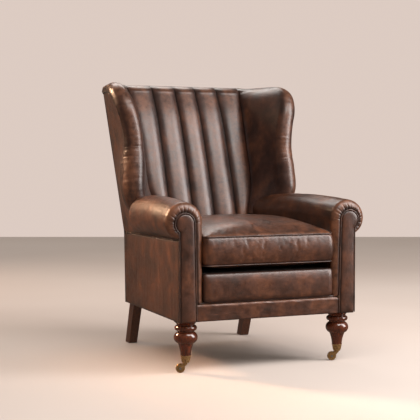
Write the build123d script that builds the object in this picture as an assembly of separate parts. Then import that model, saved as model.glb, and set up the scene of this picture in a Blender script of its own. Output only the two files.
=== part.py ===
from build123d import *
import math
import os

os.makedirs("parts", exist_ok=True)

# Leather wing chair with a loose seat cushion, on two turned front legs with castors and
# two raked rear legs.
# Millimetres, +Z up. The chair faces -Y and stands on the floor at height zero. The origin
# is on the floor under the middle of the chair. A depth is measured back from the front
# plane of the arm facings, and an inset is measured in from the outer face of the body.
# The right side (+X) is modelled, and the left side is its mirror image.

# Body, at its outer faces
facing_plane = -421.0
body_half_front = 353.0
body_half_rear = 291.0
body_depth = 736.0
base_front = 184.0
base_rear = 172.0
arm_seam_front = 478.0
arm_seam_rear = 460.0

# Rear edge of the back: it bends at arm level and leans out to its top corner
back_bend_height = 460.0
back_bend_depth = 748.0
back_top_height = 1022.0
back_top_depth = 853.0
back_top_half = 342.0
frame_top_rise = 9.0
crest_rise = 40.0

# Leather, covers and clearances
cover = 5.0
back_cover = 6.0
soft_gap = 0.5
seat_gap = 0.3
panel_room = 3.0
overrun = 60.0
bolt_radius = 4.0

# Beech frame
frame_lift = 4.0
rail_top = 318.0
rail_thickness = 28.0
front_rail_depth = 24.0
post_width = 60.0
post_depth = 60.0
post_start = 8.3
back_post_width = 44.0
back_post_thickness = 30.0
arm_board_thickness = 20.0
crest_rail_height = 46.0
lower_rail_bottom = 395.0
lower_rail_height = 50.0
wing_board_thickness = 21.0
corner_block_leg = 80.0
corner_block_top = 262.0

# Seat suspension and deck
wire_radius = 1.9
spring_count = 5
spring_pitch = 88.0
spring_run = 30.0
spring_bend = 11.0
spring_turns = 30
clip_width = 22.0
clip_depth = 16.0
clip_sheet = 1.2
deck_top = 353.0
web_width = 52.0
web_thickness = 1.7
web_pitch = 120.0
web_lap = 20.0
dust_cover_thickness = 1.6
dust_cover_inset = 20.0

# Seat cushion
cushion_side_gap = 4.0
cushion_front = -2.0
cushion_rear = 552.0
cushion_bulge = 12.0
cushion_top_seam = 482.0
cushion_bottom_seam = 380.0
cushion_seam_rise = 30.0
cushion_crown = 36.0
cushion_sag = 26.0
cushion_side_bulge = 3.0
cushion_leather = 3.0

# Front of the seat: padded border, plinth band and its welt
border_half = 258.5
border_bottom = 249.6
border_top = 351.0
border_edge_depth = 7.0
border_bulge = 10.0
border_corner = 6.0
plinth_half = 279.0
plinth_top = 243.7
plinth_depth = 5.0
welt_radius = 2.6

# Arms
arm_inner_inset = 91.0
arm_hollow_inset = 66.3
arm_front_depth = 8.0
arm_roll_end = 505.0
arm_pad_end = 628.0
arm_roll_radius = 69.0
arm_roll_swell = 3.0
arm_roll_height = 535.0
arm_roll_rise = 12.0
arm_front_round = 19.0
arm_return_bottom = 248.0

# Arm facings, keyhole shaped
facing_front = -2.0
facing_inner = 288.0
facing_outer = 349.4
head_half = 331.0
head_height = 530.0
head_radius = 34.5
facing_round = 2.0

# Wings: the path of the rolled leading edge
wing_foot = 560.0
wing_waist_half = 324.0
wing_flare = 37.0
wing_front = 512.0
wing_rake = 123.0
wing_roll_radius = 38.0
wing_cap_round = 16.0
seam_lap = 14.0

# Inside back: its thickness at the seams, measured from the rear edge, and the proud flutes
back_foot = 354.0
back_pad_foot = 171.6
back_pad_top = 57.7
back_seam_foot = 201.0
back_seam_top = 255.0
flute_inner_seam = 46.0
flute_outer_seam = 146.0
flute_proud = 17.0
crest_round = 34.0

# Front legs, turned
leg_half = 308.0
leg_depth = 54.0
leg_flare_radius = 41.5
leg_seat_radius = 34.0
leg_seat_drop = 1.5
leg_flare_neck = 31.5
leg_flare_height = 14.0
ring_radius = 40.0
ring_height = 19.0
collar_radius = 29.5
collar_height = 4.0
bulb_radius = 42.5
bulb_height = 41.0
groove_radius = 28.5
foot_radius = 18.4
spigot_taper = 2.6
leg_neck_share = 0.25
leg_throat_share = 0.3

# Castors
cup_top = 62.5
cup_bottom = 41.0
cup_top_radius = 18.6
cup_bottom_radius = 15.0
cup_wall = 1.6
cup_floor = 3.0
cup_screw_radius = 1.6
cup_screw_heading = 60.0
stem_radius = 4.0
stem_fit = 0.06
stem_top = 98.0
horn_plate_radius = 13.0
horn_plate_thickness = 3.8
horn_gap = 0.3
cheek_thickness = 2.8
cheek_gap = 0.8
cheek_end_radius = 6.0
castor_trail = 19.0
castor_turn = 156.0
wheel_radius = 17.0
wheel_width = 13.0
wheel_crown = 1.5
axle_radius = 2.5
axle_fit = 0.06
axle_head_radius = 4.2
axle_head = 1.5

# Rear legs
rear_leg_half = 255.0
rear_leg_top_depth = 701.0
rear_foot_depth = 761.0
rear_leg_width = 37.0
rear_leg_thickness = 50.0
rear_foot_width = 34.0
rear_foot_thickness = 44.0
rear_foot_chamfer = 1.5
rear_bolt_half = 257.0
rear_bolt_depth = 713.0
bolt_bottom = 126.0
bolt_top = 246.0

frame_top = back_top_height + frame_top_rise
crest_height = back_top_height + crest_rise
nodes = {}


def keep(name, *solids):
    """Files the solids of one node."""
    nodes[name] = [solid for shape in solids for solid in shape.solids()]


def keep_pair(name, shape):
    """Files a right-hand shape and its mirror image as two nodes."""
    keep(name + "_right", shape)
    keep(name + "_left", mirror(shape, about=Plane.YZ))


def keep_both(name, *shapes):
    """Files right-hand shapes and their mirror images as one node."""
    keep(name, *shapes, *[mirror(shape, about=Plane.YZ) for shape in shapes])


# Lines and planes of the body
def place(half, depth, height):
    """A point from its half width, its depth and its height."""
    return Vector(half, facing_plane + depth, height)


def blend(first, last, share):
    return first + (last - first) * share


def side_half(inset, depth):
    """Half width of the body at a depth, less an inset."""
    return blend(body_half_front, body_half_rear, depth / body_depth) - inset


def seam_height(depth):
    """Height of the seam under the arm roll."""
    return blend(arm_seam_front, arm_seam_rear, depth / body_depth)


def rear_edge(height):
    """Half width and depth of the rear edge of the back at a height."""
    if height <= back_bend_height:
        share = (height - base_rear) / (back_bend_height - base_rear)
        return body_half_rear, blend(body_depth, back_bend_depth, share)
    share = (height - back_bend_height) / (back_top_height - back_bend_height)
    half = blend(body_half_rear, back_top_half, share)
    return half, blend(back_bend_depth, back_top_depth, share)


def sloping_plane(front_height, rear_height, lift):
    """Plane across the chair, between its height at the front and at the rear."""
    slope = Vector(0, body_depth, rear_height - front_height)
    across = Vector(1, 0, 0)
    return Plane(place(0, 0, front_height + lift), x_dir=across, z_dir=across.cross(slope))


def base_plane(lift):
    return sloping_plane(base_front, base_rear, lift)


def seam_plane(lift):
    return sloping_plane(arm_seam_front, arm_seam_rear, lift)


def rear_plane(inset):
    """Plane of the back below arm level, moved forward by an inset. Its normal points back."""
    foot = place(0, body_depth - inset, base_rear)
    bend = place(0, back_bend_depth - inset, back_bend_height)
    across = Vector(1, 0, 0)
    return Plane(foot, x_dir=across, z_dir=(bend - foot).cross(across))


def above(shape, plane):
    return split(shape, bisect_by=plane, keep=Keep.TOP)


def below(shape, plane):
    return split(shape, bisect_by=plane, keep=Keep.BOTTOM)


# Basic solids
def ring_wire(points):
    return Wire.make_polygon(points, close=True)


def prism(plan, bottom, top):
    """Upright prism over a plan of half widths and depths."""
    lower = ring_wire([place(half, depth, bottom) for half, depth in plan])
    upper = ring_wire([place(half, depth, top) for half, depth in plan])
    return Solid.make_loft([lower, upper], ruled=True)


def side_slab(outer, inner, front, rear, bottom, top):
    """Upright slab that follows the taper of the right side."""
    corners = [(outer, front), (outer, rear), (inner, rear), (inner, front)]
    return prism([(side_half(inset, depth), depth) for inset, depth in corners], bottom, top)


def cross_slab(inset, front, rear, bottom, top):
    """Upright slab from side to side, whose ends follow the taper of the sides."""
    right = [(side_half(inset, front), front), (side_half(inset, rear), rear)]
    left = [(-half, depth) for half, depth in reversed(right)]
    return prism(right + left, bottom, top)


def leaning_slab(inner, outer, near, far, heights):
    """Slab that leans with the back. Both ends are functions of the height."""
    wires = []
    for height in heights:
        depth = rear_edge(height)[1]
        corners = [(inner(height), far), (outer(height), far), (outer(height), near), (inner(height), near)]
        wires.append(ring_wire([place(half, depth - inset, height) for half, inset in corners]))
    return Solid.make_loft(wires, ruled=True)


def rod(start, end, radius):
    return Solid.make_cylinder(radius, (end - start).length, Plane(start, z_dir=end - start))


def upright_rod(half, depth, bottom, top, radius):
    return rod(place(half, depth, bottom), place(half, depth, top), radius)


def arc_on(centre, radius, first, last, lift):
    """Arc about a point of the plan between two unit directions, at a height."""
    middle = (first + last).normalized()
    ends = [centre + direction * radius for direction in (first, middle, last)]
    return Edge.make_three_point_arc(*[place(point.X, point.Y, lift) for point in ends])


# Beech frame
def post_inner(height):
    return post_outer(height) - back_post_width


def post_outer(height):
    return rear_edge(height)[0] - cover - panel_room


def mirrored(function):
    return lambda height: -function(height)


def front_bolt():
    return upright_rod(leg_half, leg_depth, bolt_bottom, bolt_top, bolt_radius)


def rear_bolt():
    return upright_rod(rear_bolt_half, rear_bolt_depth, bolt_bottom, bolt_top, bolt_radius)


post_inset = cover + soft_gap
post_inner_inset = post_inset + post_width
post_end = post_start + post_depth
back_post_inset = back_cover + seat_gap
back_post_front = back_post_inset + back_post_thickness
low = base_rear - overrun

front_post = side_slab(post_inset, post_inner_inset, post_start, post_end, low, arm_seam_front)
front_post = below(above(front_post, base_plane(frame_lift)), seam_plane(-arm_board_thickness))
keep_pair("front_post", front_post - front_bolt())

back_post_heights = [low, back_bend_height, frame_top]
back_post = leaning_slab(post_inner, post_outer, back_post_front, back_post_inset, back_post_heights)
back_post = above(back_post, base_plane(frame_lift))
keep_pair("back_post", back_post - rear_bolt())

front_rail_rear = front_rail_depth + rail_thickness
front_rail = cross_slab(post_inner_inset, front_rail_depth, front_rail_rear, low, rail_top)
keep("front_rail", above(front_rail, base_plane(frame_lift)))

side_rail_inner = post_inset + rail_thickness
side_rail = side_slab(post_inset, side_rail_inner, post_end, body_depth, low, rail_top)
side_rail = below(above(side_rail, base_plane(frame_lift)), rear_plane(back_post_front))
keep_pair("side_rail", side_rail)

rail_rear_inset = back_post_inset + rail_thickness
rail_heights = [low, rail_top]
back_rail = leaning_slab(
    mirrored(post_inner), post_inner, rail_rear_inset, back_post_inset, rail_heights
)
keep("back_rail", above(back_rail, base_plane(frame_lift)))

arm_board = side_slab(post_inset, post_inner_inset, post_start, body_depth, low, crest_height)
arm_board = below(above(arm_board, seam_plane(-arm_board_thickness)), seam_plane(0))
keep_pair("arm_board", below(arm_board, rear_plane(back_post_front)))

lower_heights = [lower_rail_bottom, lower_rail_bottom + lower_rail_height]
crest_heights = [frame_top - crest_rail_height, frame_top]
for name, heights in (("lower_back_rail", lower_heights), ("crest_rail", crest_heights)):
    rail = leaning_slab(
        mirrored(post_inner), post_inner, back_post_front, back_post_inset, heights
    )
    keep(name, rail)

front_block_plan = [
    (side_half(side_rail_inner, post_end), post_end),
    (side_half(side_rail_inner, post_end + corner_block_leg), post_end + corner_block_leg),
    (side_half(side_rail_inner + corner_block_leg, post_end), post_end),
]
rear_block_end = body_depth - back_post_front
rear_block_plan = [
    (side_half(side_rail_inner, body_depth), body_depth),
    (side_half(side_rail_inner, rear_block_end - corner_block_leg), rear_block_end - corner_block_leg),
    (side_half(side_rail_inner + corner_block_leg, rear_block_end), rear_block_end),
    (side_half(side_rail_inner + corner_block_leg, body_depth), body_depth),
]
front_block = above(prism(front_block_plan, low, corner_block_top), base_plane(frame_lift))
rear_block = above(prism(rear_block_plan, low, corner_block_top), base_plane(frame_lift))
rear_block = below(rear_block, rear_plane(back_post_front)) - rear_bolt()
keep_both("corner_blocks", front_block, rear_block)


# Seat suspension
wire_height = rail_top + clip_sheet + wire_radius
clip_top = wire_height + wire_radius + clip_sheet
spring_start = front_rail_depth + rail_thickness / 2
spring_bend_pitch = spring_bend * 2


def seat_spring(half):
    """One sinuous spring: cross runs joined by half circles, from front to back."""
    edges = []
    for turn in range(spring_turns + 1):
        depth = spring_start + turn * spring_bend_pitch
        way = 1 if turn % 2 == 0 else -1
        start = place(half - way * spring_run / 2, depth, wire_height)
        end = place(half + way * spring_run / 2, depth, wire_height)
        edges.append(Edge.make_line(start, end))
        if turn < spring_turns:
            outer = end + Vector(way * spring_bend, spring_bend, 0)
            after = end + Vector(0, spring_bend_pitch, 0)
            edges.append(Edge.make_three_point_arc(end, outer, after))
    path = Wire(edges)
    section = Plane(path @ 0, z_dir=path % 0) * Circle(wire_radius)
    return sweep(section, path=path)


def spring_clip(half, depth, way):
    """Folded clip that holds the end run of a spring on a rail, open towards the spring."""
    height = clip_top - rail_top
    middle = place(half, depth, rail_top + height / 2)
    body = Location(middle) * Box(clip_width, clip_depth, height)
    slot_middle = middle + Vector(0, way * (clip_depth / 2 - wire_radius), 0)
    slot = Location(slot_middle) * Box(clip_width + overrun, clip_depth, wire_radius * 2)
    return body - slot


spring_places = [(index - (spring_count - 1) / 2) * spring_pitch for index in range(spring_count)]
spring_end = spring_start + spring_turns * spring_bend_pitch
keep("seat_springs", *[seat_spring(half) for half in spring_places])
clips = [spring_clip(half, spring_start, 1) for half in spring_places]
clips += [spring_clip(half, spring_end, -1) for half in spring_places]
keep("spring_clips", *clips)

deck_front = front_rail_depth + soft_gap
deck = cross_slab(arm_hollow_inset, deck_front, body_depth, clip_top, deck_top)
deck_rear = rear_plane(back_post_front + web_thickness + seat_gap)
keep("seat_deck", below(deck, deck_rear))


def web_strap(half):
    """Upright strap over the front faces of the lower and the crest rail."""
    heights = [lower_rail_bottom + lower_rail_height - web_lap, back_bend_height]
    heights.append(frame_top - crest_rail_height + web_lap)
    near = back_post_front + web_thickness

    def left(height):
        return half - web_width / 2

    def right(height):
        return half + web_width / 2

    return leaning_slab(left, right, near, back_post_front, heights)


keep("back_webbing", *[web_strap(half) for half in (-web_pitch, 0, web_pitch)])

dust_cover = cross_slab(dust_cover_inset, front_rail_depth, body_depth, low, rail_top)
dust_cover = above(dust_cover, base_plane(frame_lift - dust_cover_thickness))
dust_cover = below(below(dust_cover, base_plane(frame_lift)), rear_plane(back_post_inset))
for way in (1, -1):
    hole_radius = leg_flare_radius + soft_gap
    dust_cover -= upright_rod(way * leg_half, leg_depth, low, rail_top, hole_radius)
    notch_half = rear_leg_half - rear_leg_width / 2 - soft_gap
    notch_depth = rear_leg_top_depth - rear_leg_thickness / 2 - frame_lift
    notch = [(notch_half, notch_depth), (body_half_front, notch_depth)]
    notch += [(body_half_front, back_top_depth), (notch_half, back_top_depth)]
    dust_cover -= prism([(way * half, depth) for half, depth in notch], low, rail_top)
keep("dust_cover", dust_cover)


# Arms
def roll_radius(depth):
    return arm_roll_radius + arm_roll_swell * math.sin(math.pi * min(depth / arm_pad_end, 1))


def roll_centre(depth):
    """Half width and height of the middle of the arm roll."""
    half = side_half(arm_inner_inset, depth) + roll_radius(depth)
    return half, arm_roll_height + arm_roll_rise * math.sin(math.pi * min(depth / arm_pad_end, 1))


def arm_section(depth, inset, growth):
    """Outline of the arm pad: a roll over a board, with an inner leg down to the seat."""
    half, height = roll_centre(depth)
    radius = roll_radius(depth) - inset + growth
    inner = side_half(arm_hollow_inset, depth)
    outer = side_half(0, depth) + growth
    underside = seam_height(depth) + seat_gap
    diagonal = radius * math.sqrt(0.5)
    foot = place(half - radius, depth, deck_top + seat_gap)
    shoulder = place(half - radius, depth, height)
    crown = place(half, depth, height + radius)
    side = place(half + radius, depth, height)
    tuck = place(outer, depth, underside)
    board = place(inner, depth, underside)
    inner_foot = place(inner, depth, deck_top + seat_gap)
    edges = [
        Edge.make_line(foot, shoulder),
        Edge.make_three_point_arc(shoulder, place(half - diagonal, depth, height + diagonal), crown),
        Edge.make_three_point_arc(crown, place(half + diagonal, depth, height + diagonal), side),
        Edge.make_three_point_arc(side, place(half + diagonal, depth, height - diagonal), tuck),
        Edge.make_line(tuck, board),
        Edge.make_line(board, inner_foot),
        Edge.make_line(inner_foot, foot),
    ]
    return Wire(edges)


arm_station_shares = (0.0, 0.25, 0.5, 0.75, 1.0)
arm_round_shares = ((0.0, 0.84), (0.22, 0.38), (0.55, 0.1), (1.0, 0.0))


def arm_loft(growth):
    """The arm pad, with a rounded front end."""
    start = arm_front_depth + arm_front_round
    length = arm_pad_end - start
    long_part = [arm_section(start + length * share, 0, growth) for share in arm_station_shares]
    round_part = [
        arm_section(arm_front_depth + arm_front_round * depth_share, arm_front_round * inset_share, growth)
        for depth_share, inset_share in arm_round_shares
    ]
    return Solid.make_loft(round_part, ruled=False) + Solid.make_loft(long_part, ruled=False)


wing_foot_inset = post_inset + wing_board_thickness + soft_gap * 2
wing_room = side_slab(-overrun, wing_foot_inset, arm_roll_end, body_depth, low, crest_height)
return_inset = arm_inner_inset - cover
return_rear = front_rail_depth - soft_gap
arm_return = side_slab(
    arm_hollow_inset, return_inset, arm_front_depth, return_rear, arm_return_bottom, arm_roll_height
)
keep_pair("arm_pad", arm_loft(0) - wing_room + arm_return)

outside_arm = side_slab(0, cover, arm_front_depth, back_top_depth, low, crest_height)
outside_arm = below(above(outside_arm, base_plane(0)), seam_plane(-welt_radius * 2 - seat_gap))
keep_pair("outside_arm", below(outside_arm, rear_plane(back_post_inset)))

welt_inset = cover - welt_radius
welt_ends = []
for depth in (arm_front_depth + seat_gap, body_depth - back_cover):
    welt_ends.append(place(side_half(welt_inset, depth), depth, seam_height(depth) - welt_radius))
keep_both("arm_welts", rod(welt_ends[0], welt_ends[1], welt_radius))


def facing_outline():
    """Keyhole outline: a stem that rises into a round head, scrolled outwards."""
    drop = math.sqrt(head_radius**2 - (facing_outer - head_half) ** 2)
    foot_height = base_front - overrun
    diagonal = head_radius * math.sqrt(0.5)
    lower = (facing_outer - head_half + head_radius) / 2
    lower_drop = math.sqrt(head_radius**2 - lower**2)
    front = 0
    corner = place(facing_inner, front, foot_height)
    head_in = place(head_half - head_radius, front, head_height)
    head_top = place(head_half, front, head_height + head_radius)
    head_out = place(head_half + head_radius, front, head_height)
    upper_in = place(head_half - diagonal, front, head_height + diagonal)
    upper_out = place(head_half + diagonal, front, head_height + diagonal)
    lower_out = place(head_half + lower, front, head_height - lower_drop)
    curl = place(facing_outer, front, head_height - drop)
    outer_corner = place(facing_outer, front, foot_height)
    edges = [
        Edge.make_line(corner, head_in),
        Edge.make_three_point_arc(head_in, upper_in, head_top),
        Edge.make_three_point_arc(head_top, upper_out, head_out),
        Edge.make_three_point_arc(head_out, lower_out, curl),
        Edge.make_line(curl, outer_corner),
        Edge.make_line(outer_corner, corner),
    ]
    return Face(Wire(edges))


def front_layer(outline, front, rear):
    """The outline extruded between two depths."""
    return Solid.extrude(outline.moved(Location((0, front, 0))), Vector(0, rear - front, 0))


facing_face = facing_outline()
facing = front_layer(facing_face, facing_front, arm_front_depth)
rounded_from = facing_plane + facing_front + seat_gap
front_edges = facing.edges().filter_by(lambda edge: edge.center().Y < rounded_from)
facing = fillet(front_edges, facing_round)
keep_pair("arm_facing", above(facing, base_plane(0)))


def facing_ring(outer):
    grown = offset(facing_face, amount=outer, kind=Kind.ARC)
    welt_front = arm_front_depth - seat_gap - welt_radius * 2
    return front_layer(grown.faces()[0], welt_front, arm_front_depth - seat_gap)


facing_welt = facing_ring(seat_gap + welt_radius * 2) - facing_ring(seat_gap)
keep_pair("facing_welt", above(facing_welt, base_plane(0)))


# Front of the seat
def border_pad():
    """Padded band with a bulged front and rounded upright corners."""
    rear = front_rail_depth - soft_gap
    middle = (border_bottom + border_top) / 2
    lower_rear = place(-border_half, rear, border_bottom)
    lower_front = place(-border_half, border_edge_depth, border_bottom)
    bulge = place(-border_half, border_edge_depth - border_bulge, middle)
    upper_front = place(-border_half, border_edge_depth, border_top)
    upper_rear = place(-border_half, rear, border_top)
    edges = [
        Edge.make_line(lower_rear, lower_front),
        Edge.make_three_point_arc(lower_front, bulge, upper_front),
        Edge.make_line(upper_front, upper_rear),
        Edge.make_line(upper_rear, lower_rear),
    ]
    band = Solid.extrude(Face(Wire(edges)), Vector(border_half * 2, 0, 0))
    ends = band.edges().filter_by(GeomType.CIRCLE)
    return fillet(ends, border_corner)


keep("seat_border", border_pad())
plinth_rear = front_rail_depth - soft_gap
plinth_plan = [(-plinth_half, plinth_depth), (plinth_half, plinth_depth)]
plinth_plan += [(plinth_half, plinth_rear), (-plinth_half, plinth_rear)]
plinth = above(prism(plinth_plan, low, plinth_top), base_plane(0))
keep("plinth_band", plinth)
plinth_welt_height = plinth_top + seat_gap + welt_radius
welt_start = place(-plinth_half, plinth_depth + seat_gap, plinth_welt_height)
welt_end = place(plinth_half, plinth_depth + seat_gap, plinth_welt_height)
keep("plinth_welt", rod(welt_start, welt_end, welt_radius))


# Inside back
back_pad_shares = (1.0, 0.963, 0.917, 0.775, 0.551, 0.262, 0.0)
back_height_shares = (0.0, 0.13, 0.26, 0.435, 0.66, 0.88, 1.0)
back_seam_shares = (0.0, 0.0, 0.0, 0.62, 0.73, 0.87, 1.0)


def table(shares, values, share):
    """Reads a table of shares, in a straight line between its rows."""
    for low_share, high_share, low_value, high_value in zip(shares, shares[1:], values, values[1:]):
        if share <= high_share:
            return blend(low_value, high_value, (share - low_share) / (high_share - low_share))
    return values[-1]


def back_seam(height):
    """Half width and depth of the seam between the inside back and a wing."""
    share = max((height - back_foot) / (frame_top - back_foot), 0)
    half = blend(back_seam_foot, back_seam_top, table(back_height_shares, back_seam_shares, share))
    thickness = blend(back_pad_top, back_pad_foot, table(back_height_shares, back_pad_shares, share))
    return half, rear_edge(height)[1] - thickness


def flute_section(height, setback, rear_inset, side_inset, proud):
    """Plan outline of the inside back: proud flutes in front and a straight rear."""
    seam_half, seam_depth = back_seam(min(height, frame_top))
    seam_half -= side_inset
    front = seam_depth + setback
    rear = rear_edge(height)[1] - rear_inset
    edges = []
    right_seams = [flute_inner_seam, flute_outer_seam, seam_half]
    seams = [-seam for seam in reversed(right_seams)] + right_seams
    for left, right in zip(seams, seams[1:]):
        start = place(left, front, height)
        middle = place((left + right) / 2, front - proud, height)
        end = place(right, front, height)
        edges.append(Edge.make_three_point_arc(start, middle, end))
    corners = [place(seam_half, front, height), place(seam_half, rear, height)]
    corners += [place(-seam_half, rear, height), place(-seam_half, front, height)]
    edges += [Edge.make_line(first, second) for first, second in zip(corners, corners[1:])]
    return Wire(edges)


crest_setback_shares = ((0.0, 0.0), (0.45, 0.28), (0.8, 0.75), (1.0, 1.3))
crest_rear_shares = (0.0, 0.05, 0.2, 0.45)
outside_top_share = 0.56
pad_rear_inset = back_post_front + web_thickness + seat_gap


def frame_room():
    """Room for the posts, rails and webbing behind the pads."""

    def reach(height):
        return body_half_front

    heights = [base_rear, back_bend_height, frame_top]
    return leaning_slab(mirrored(reach), reach, pad_rear_inset, -overrun, heights)


def back_body(growth):
    """The fluted part of the inside back, from the seat deck to the top of the frame."""
    heights = [blend(back_foot, frame_top, share) for share in back_height_shares]
    sections = [flute_section(height, 0, back_post_inset, -growth, flute_proud) for height in heights]
    return Solid.make_loft(sections) - frame_room()


def inside_back():
    cap_rise = crest_height - frame_top
    crest = []
    for (rise_share, setback_share), rear_share in zip(crest_setback_shares, crest_rear_shares):
        height = frame_top + seat_gap + (cap_rise - seat_gap) * rise_share
        rear_inset = back_post_inset + crest_round * rear_share
        proud = flute_proud * (1 - setback_share / 2)
        crest.append(flute_section(height, cap_rise * setback_share, rear_inset, 0, proud))
    neck = flute_section(frame_top, 0, pad_rear_inset, 0, flute_proud)
    step = flute_section(frame_top + seat_gap, 0, pad_rear_inset, 0, flute_proud)
    bridge = Solid.make_loft([neck, step], ruled=True)
    return back_body(0) + bridge + Solid.make_loft(crest)


keep("inside_back", inside_back())


def outside_half(height):
    return rear_edge(height)[0]


outside_heights = [low, back_bend_height, back_top_height]
outside_back = leaning_slab(mirrored(outside_half), outside_half, back_cover, 0, outside_heights)


def outside_top_half(height):
    lift = (height - back_top_height) / crest_rise
    return rear_edge(height)[0] - crest_round * max(lift, 0)


top_heights = [back_top_height, back_top_height + crest_rise * outside_top_share]
outside_top = leaning_slab(
    mirrored(outside_top_half), outside_top_half, back_cover, 0, top_heights
)
keep("outside_back", above(outside_back, base_plane(0)) + outside_top)


# Wings
wing_station_shares = (
    (0.0, -0.486, 0.065, 0.84),
    (0.085, -0.05, 0.024, 0.95),
    (0.169, 0.135, 0.016, 1.0),
    (0.361, 0.0, 0.09, 1.0),
    (0.499, 0.0, 0.17, 1.0),
    (0.637, 0.11, 0.235, 1.0),
    (0.743, 0.38, 0.275, 1.0),
    (0.843, 0.76, 0.335, 1.0),
    (0.934, 0.97, 0.58, 1.0),
    (1.0, 1.0, 0.95, 0.95),
)
wing_cap_shares = ((0.0, 0.0), (0.5, 0.25), (0.85, 0.62), (1.0, 1.0))
wing_panel_step = cover + wing_board_thickness + soft_gap * 2


def wing_roll(shares):
    """Height, middle and radius of the rolled edge at one station."""
    rise_share, flare_share, rake_share, radius_share = shares
    height = blend(wing_foot, frame_top, rise_share)
    middle = Vector(wing_waist_half + wing_flare * flare_share, wing_front + wing_rake * rake_share)
    return height, middle, wing_roll_radius * radius_share


def wing_lines(shares):
    """Directions and corner points of the wing's plan at one station."""
    height, middle, radius = wing_roll(shares)
    rear_half, rear_depth = rear_edge(height)
    rear = Vector(rear_half, rear_depth - back_post_inset)
    out_way = (rear - (middle + Vector(radius, 0))).normalized()
    out_normal = Vector(out_way.Y, -out_way.X)
    seam_half, seam_depth = back_seam(height)
    seam = Vector(seam_half + soft_gap, seam_depth)
    in_way = (seam - (middle - Vector(radius, 0))).normalized()
    in_normal = Vector(-in_way.Y, in_way.X)
    return height, middle, radius, rear, out_way, out_normal, seam, in_normal


def along_to_depth(start, way, depth):
    return start + way * ((depth - start.Y) / way.Y)


def wing_section(shares):
    """Plan of the wing pad: rolled leading edge, notched outside for the board and panel."""
    height, middle, radius, rear, out_way, out_normal, seam, in_normal = wing_lines(shares)
    tip = (out_normal + in_normal).normalized()
    tip = tip if tip.Y < 0 else -tip
    outer = middle + out_normal * radius
    notch = outer - out_normal * wing_panel_step
    rear_depth = rear_edge(height)[1] - back_post_inset
    notch_rear = along_to_depth(notch, out_way, rear_depth)
    seam = seam + (seam - middle).normalized() * seam_lap
    inner_rear = Vector(seam.X, rear_depth)
    corners = [outer, notch, notch_rear, inner_rear, seam, middle + in_normal * radius]
    corners = [place(corner.X, corner.Y, height) for corner in corners]
    edges = [arc_on(middle, radius, in_normal, tip, height)]
    edges.append(arc_on(middle, radius, tip, out_normal, height))
    edges += [Edge.make_line(first, second) for first, second in zip(corners, corners[1:])]
    return Wire(edges)


def panel_section(shares, outer_step, inner_step, rear_inset):
    """Plan of a layer of the wing that lies behind its roll, between two steps inwards."""
    height, middle, radius, rear, out_way, out_normal, seam, in_normal = wing_lines(shares)
    start = middle + out_normal * radius + out_way * soft_gap
    depth = rear_edge(height)[1] - rear_inset
    first = start - out_normal * outer_step
    last = start - out_normal * inner_step
    corners = [first, along_to_depth(first, out_way, depth)]
    corners += [along_to_depth(last, out_way, depth), last]
    return ring_wire([place(corner.X, corner.Y, height) for corner in corners])


def lower_panel_section(outer_step, inner_step, rear_inset):
    """The same layer where it stands on the side of the body."""
    depth = rear_edge(arm_seam_rear)[1] - rear_inset
    ends = [(outer_step, arm_roll_end), (outer_step, depth)]
    ends += [(inner_step, depth), (inner_step, arm_roll_end)]
    corners = [place(side_half(inset, deep), deep, seam_height(deep) + seat_gap) for inset, deep in ends]
    return ring_wire(corners)


def wing_layer(outer_step, inner_step, rear_inset):
    """A layer of the wing from the arm board up to the top of the frame."""
    upper = [panel_section(shares, outer_step, inner_step, rear_inset) for shares in wing_station_shares]
    lower = lower_panel_section(outer_step, inner_step, rear_inset)
    return Solid.make_loft([lower, upper[0]], ruled=True) + Solid.make_loft(upper, ruled=False)


board_step = cover + soft_gap
keep_pair("wing_board", wing_layer(board_step, board_step + wing_board_thickness, back_post_front))
keep_pair("outside_wing", wing_layer(0, cover, back_post_inset))


def wing_cap():
    """Rounded top of the wing pad, which covers the board, the panel and the post."""
    last = wing_station_shares[-1]
    height, middle, radius, rear, out_way, out_normal, seam, in_normal = wing_lines(last)
    wires = []
    for rise_share, inset_share in wing_cap_shares:
        inset = wing_cap_round * inset_share
        level = height + (crest_height - height) * rise_share
        small = radius - inset
        tip = -(out_way + Vector(0, 1)).normalized()
        outer = middle + out_normal * small
        rear_depth = rear.Y - inset
        outer_rear = along_to_depth(outer, out_way, rear_depth)
        inner_rear = Vector(seam.X, rear_depth)
        front_seam = Vector(seam.X, seam.Y + inset)
        corners = [outer, outer_rear, inner_rear, front_seam, middle + in_normal * small]
        corners = [place(corner.X, corner.Y, level) for corner in corners]
        edges = [arc_on(middle, small, in_normal, tip, level)]
        edges.append(arc_on(middle, small, tip, out_normal, level))
        edges += [Edge.make_line(first, second) for first, second in zip(corners, corners[1:])]
        wires.append(Wire(edges))
    return Solid.make_loft(wires, ruled=False)


wing_pad = Solid.make_loft([wing_section(shares) for shares in wing_station_shares], ruled=False)
wing_pad = wing_pad - arm_loft(soft_gap) - back_body(soft_gap) - frame_room()
wing_pad += wing_cap()
keep_pair("wing_pad", wing_pad)


# Seat cushion
cushion_depth_shares = (0.0, 0.14, 0.32, 0.5, 0.68, 0.86, 1.0)
cushion_crown_shares = (0.15, 0.68, 0.95, 1.0, 0.95, 0.7, 0.3)
cushion_nose_shares = ((1.0, 1.0), (0.75, 0.45), (0.0, 0.0))
cushion_sag_share = 1.3


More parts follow.
